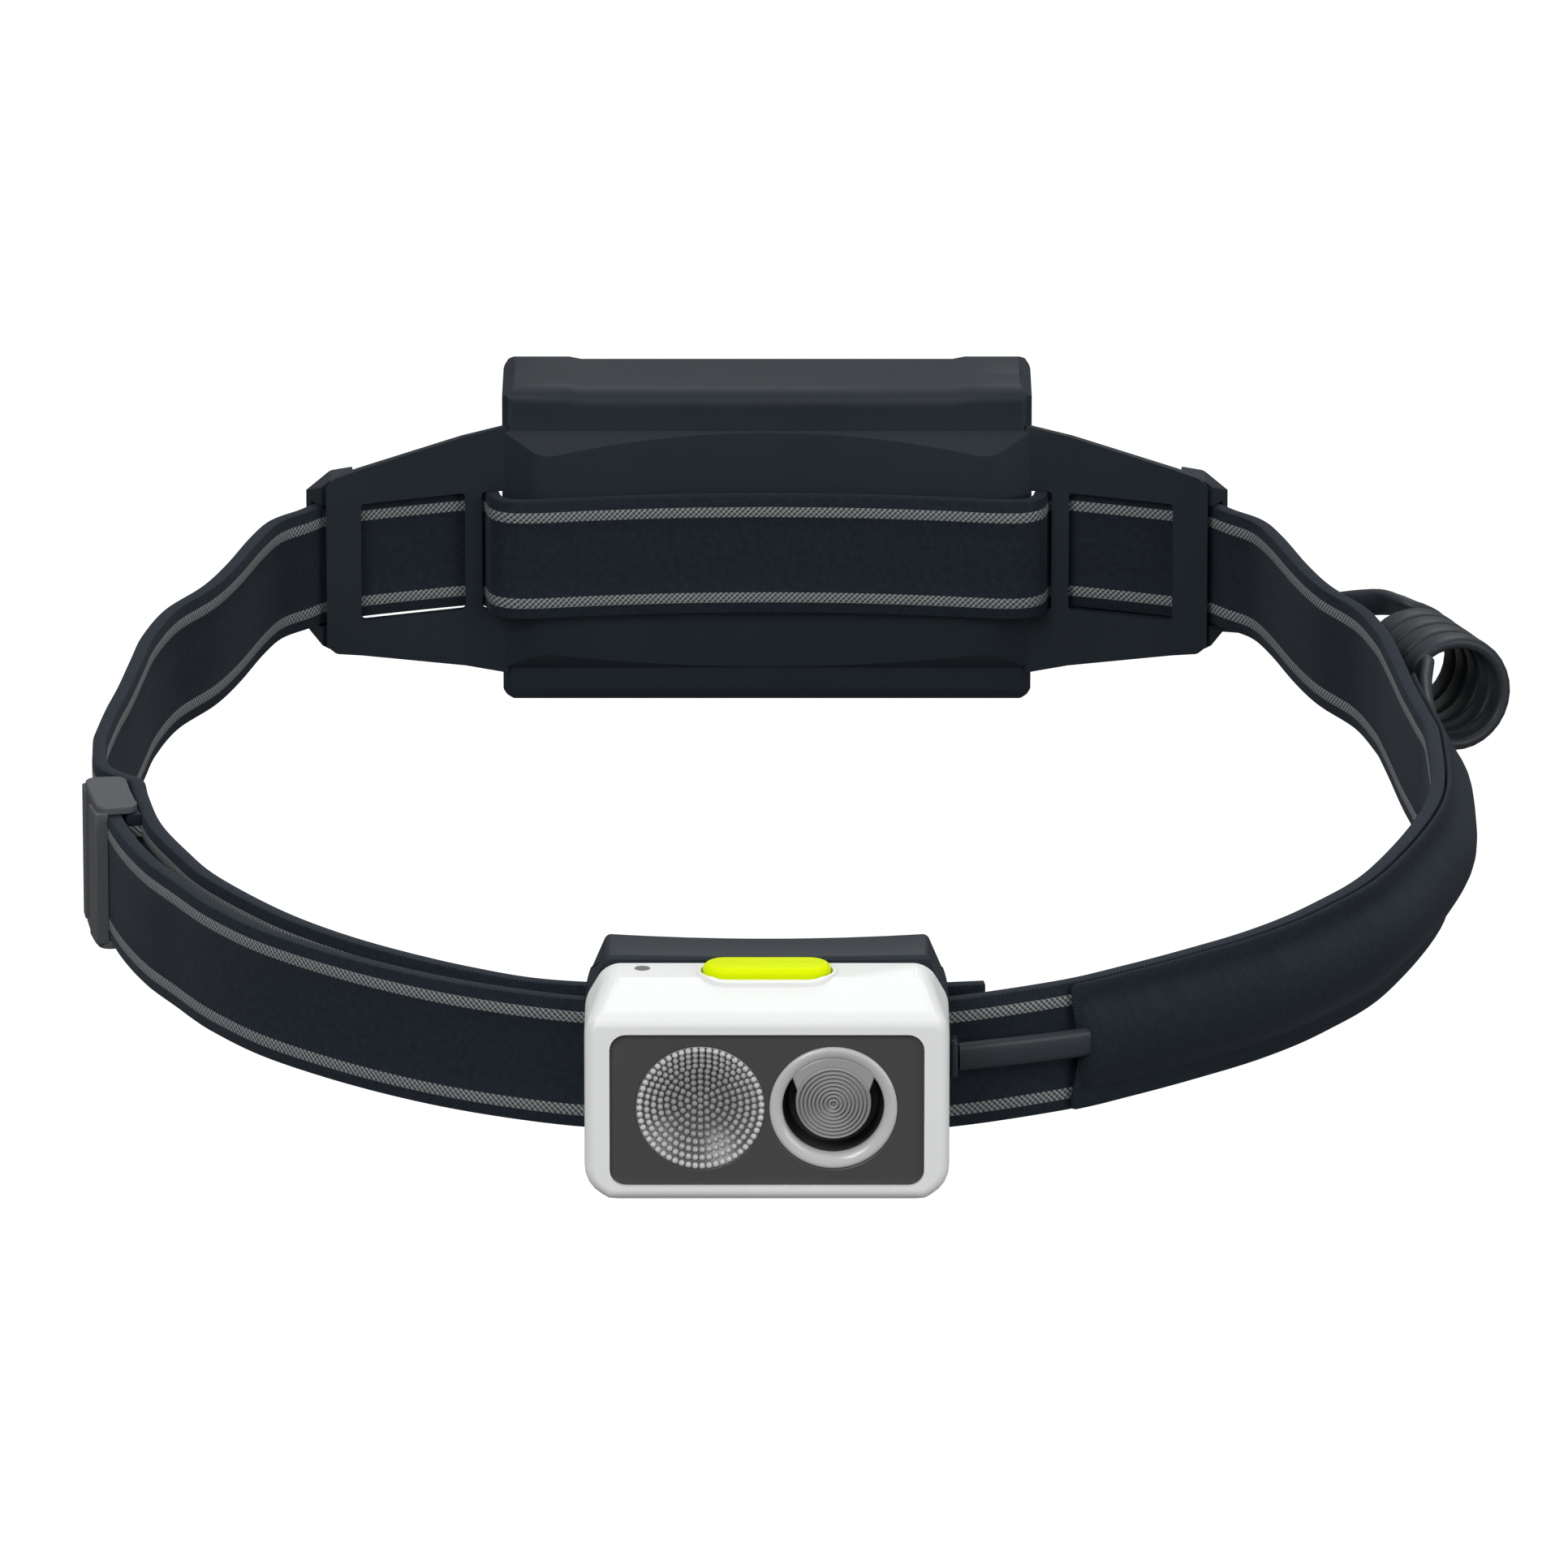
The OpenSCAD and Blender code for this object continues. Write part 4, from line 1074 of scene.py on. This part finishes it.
# %% Adjuster
def arc_block(bm, inner, outer, start, end, low, high, steps=6):
    """A bar between two radii, angles and heights about the band's curve."""
    angle = math.radians(start)
    way = Vector((math.cos(angle), math.sin(angle), 0))
    corners = [bm.verts.new(arc_centre + way * radius + up * height)
               for radius, height in ((inner, low), (outer, low), (outer, high), (inner, high))]
    face = bm.faces.new(corners)
    bmesh.ops.spin(bm, geom=[face], cent=arc_centre, axis=up, angle=math.radians(end - start), steps=steps,
                   use_duplicate=False)


front = slider_mid + 4.18
back = slider_mid - 2.7
plate_low, plate_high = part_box("strap_slider")
plate_face = 10.15 * MM
plate_inner = 128.0 * MM
plate_outer = 134.4 * MM
bar_top = 10.6 * MM
slider_bm = bmesh.new()
for low, high in ((plate_face, plate_high[2]), (plate_low[2], -plate_face)):
    arc_block(slider_bm, plate_inner, plate_outer, back, front, low, high, 8)
upright = [e for e in slider_bm.edges if abs(e.verts[0].co.z - e.verts[1].co.z) > 0.5 * MM
           and len(e.link_faces) == 2 and e.calc_face_angle(0) > math.radians(60)]
round_edges(slider_bm, upright, 2.2 * MM)
bars = ((132.8, 135.0, front - 2.4, front), (133.1, 134.8, back, back + 1.4),
        (128.3, 130.1, slider_mid + 0.5, slider_mid + 1.7))
for inner, outer, start, end in bars:
    arc_block(slider_bm, inner * MM, outer * MM, start, end, -bar_top, bar_top)
bmesh.ops.recalc_face_normals(slider_bm, faces=slider_bm.faces)
slider = finish_piece("adjuster", slider_bm, grey_plastic, "slider", ["strap_slider"], 40)
soften(slider, 0.55 * MM, 4, 30)

# %% [markdown]
# ## The battery pack
# The pack is two dark shells. The front one carries the curved pad that rests on the head and the two
# wings that the webbing passes through. The wings' windows and outer corners are rounded widely, and every
# other edge a little. The top has a low raised step at each end.

# %% Corners of the pack frame
frame_bm = merged_copy("pack_frame")


def along_depth(edge):
    """True for an edge that runs mostly along Y, through a plate's thickness."""
    way = edge.verts[1].co - edge.verts[0].co
    return abs(way.y) > 0.75 * way.length


def near_corner(co, corners, reach=0.4 * MM):
    return any(abs(abs(co.x) - x * MM) < reach and abs(abs(co.z) - z * MM) < reach for x, z in corners)


window_corners = [(49.5, 10), (66.4, 10), (46.7, 10.35)]
tip_corners = [(70.5, 15), (73.5, 12), (71.5, 14.4), (75.3, 11.9)]
for corners, radius in ((window_corners, 1.1 * MM), (tip_corners, 1.6 * MM)):
    found = [e for e in frame_bm.edges
             if along_depth(e) and all(near_corner(v.co, corners) for v in e.verts)]
    round_edges(frame_bm, found, radius, 4)
    print("rounded", len(found), "corners of the wings")
pad_tips = [e for e in frame_bm.edges if abs(e.verts[0].co.z - e.verts[1].co.z) > 5 * MM
            and all(abs(abs(v.co.x) - 36.8 * MM) < 0.3 * MM and v.co.y < 130 * MM for v in e.verts)]
round_edges(frame_bm, pad_tips, 2.2 * MM)
print("rounded", len(pad_tips), "tips of the pad")


# %% Top of the pack
def sink_middle(bm, depth=0.4 * MM, inner=30.6 * MM, outer=32.6 * MM):
    """Lowers the middle of the top, which leaves a raised step at each end."""
    for x in (-outer, -inner, inner, outer):
        bmesh.ops.bisect_plane(bm, geom=bm.verts[:] + bm.edges[:] + bm.faces[:], dist=0.00001,
                               plane_co=(x, 0, 0), plane_no=(1, 0, 0))
    for vert in bm.verts:
        if vert.co.z > 23.5 * MM and abs(vert.co.x) < outer - 0.1 * MM:
            vert.co.z -= depth


sink_middle(frame_bm)
pack_shell = finish_piece("pack_front_shell", frame_bm, dark_plastic, "band",
                          ["pack_frame"], 40)
soften(pack_shell, 0.45 * MM, 3, 32)

# %% [markdown]
# ## The rear shell
# The rear shell is a shallow tray with a wide rounded rim, four screw wells and the recess of the charge
# port. It is dressed in the same way as the front one.

# %% Rear shell
rear_bm = merged_copy("pack_rear_shell")
sink_middle(rear_bm)
rear = finish_piece("pack_back_shell", rear_bm, dark_plastic, "band",
                    ["pack_rear_shell"], 40)
soften(rear, 0.3 * MM, 2, 35)

# %% [markdown]
# ## The port flap and the cable glands
# The flap covers the charge port and swings down on its pin. At each end of the cable a soft rubber boot
# grips it. All three keep the plain solids' shapes, with rounded edges.

# %% Port flap
flap = finish_piece("port_cover", merged_copy("port_flap"), grey_plastic, "flap",
                    ["port_flap"], 40)
soften(flap, 0.22 * MM, 3, 35)

# %% Glands
for gland in ("bracket_gland", "pack_gland"):
    boot = finish_piece(gland + "_boot", merged_copy(gland), cable_rubber, "band",
                        [gland], 40)
    soften(boot, 0.6 * MM, 4, 35)

# %% [markdown]
# ## Screws
# Each screw has a low round head with a six-lobed drive. The head is a short cylinder, its face is inset,
# and the inset ring is waved in and out and pushed down to make the socket.


# %% Screw heads
def screw_heads(name, node, radius, height, body):
    """Lobed heads, facing backwards, over the solid screws of a node."""
    sides = 24
    lobes = 6
    bm = bmesh.new()
    solid = bmesh.new()
    solid.from_mesh(nodes[node].data)
    bmesh.ops.remove_doubles(solid, verts=solid.verts, dist=0.00001)
    face_y = max(v.co.y for v in solid.verts)
    rim = [v.co.copy() for v in solid.verts if abs(v.co.y - face_y) < 0.01 * MM]
    solid.free()
    centres = []
    for co in rim:
        for centre in centres:
            if (co - centre[0]).length < 3 * radius:
                centre.append(co)
                break
        else:
            centres.append([co])
    for group in centres:
        middle = sum(group, Vector((0, 0, 0))) / len(group)
        made = bmesh.ops.create_cone(bm, cap_ends=True, segments=sides, radius1=radius,
                                     radius2=radius * 0.93, depth=height)
        turn = Matrix.Rotation(math.radians(-90), 4, "X")
        bmesh.ops.transform(bm, verts=made["verts"], matrix=Matrix.Translation(middle) @ turn)
        ends = [f for f in bm.faces
                if len(f.verts) == sides and (f.calc_center_median() - middle).length < 2 * radius]
        crown = max(ends, key=lambda f: f.calc_center_median().y)
        centre = crown.calc_center_median()
        bmesh.ops.inset_individual(bm, faces=[crown], thickness=radius * 0.45)
        for k, vert in enumerate(crown.verts):
            off = vert.co - centre
            vert.co = centre + off * (1 + 0.16 * math.cos(math.tau * lobes * k / sides))
        sunk = bmesh.ops.extrude_discrete_faces(bm, faces=[crown])["faces"][0]
        bmesh.ops.translate(bm, verts=sunk.verts[:], vec=(0, -height * 0.8, 0))
    bmesh.ops.recalc_face_normals(bm, faces=bm.faces)
    finish_piece(name, bm, steel, body, (), 40)
    print(name, len(centres), "heads")


screw_heads("pack_screw_heads", "pack_screws", 1.85 * MM, 0.7 * MM, "band")
screw_heads("cover_screw_heads", "cover_screws", 1.55 * MM, 0.5 * MM, "lamp")
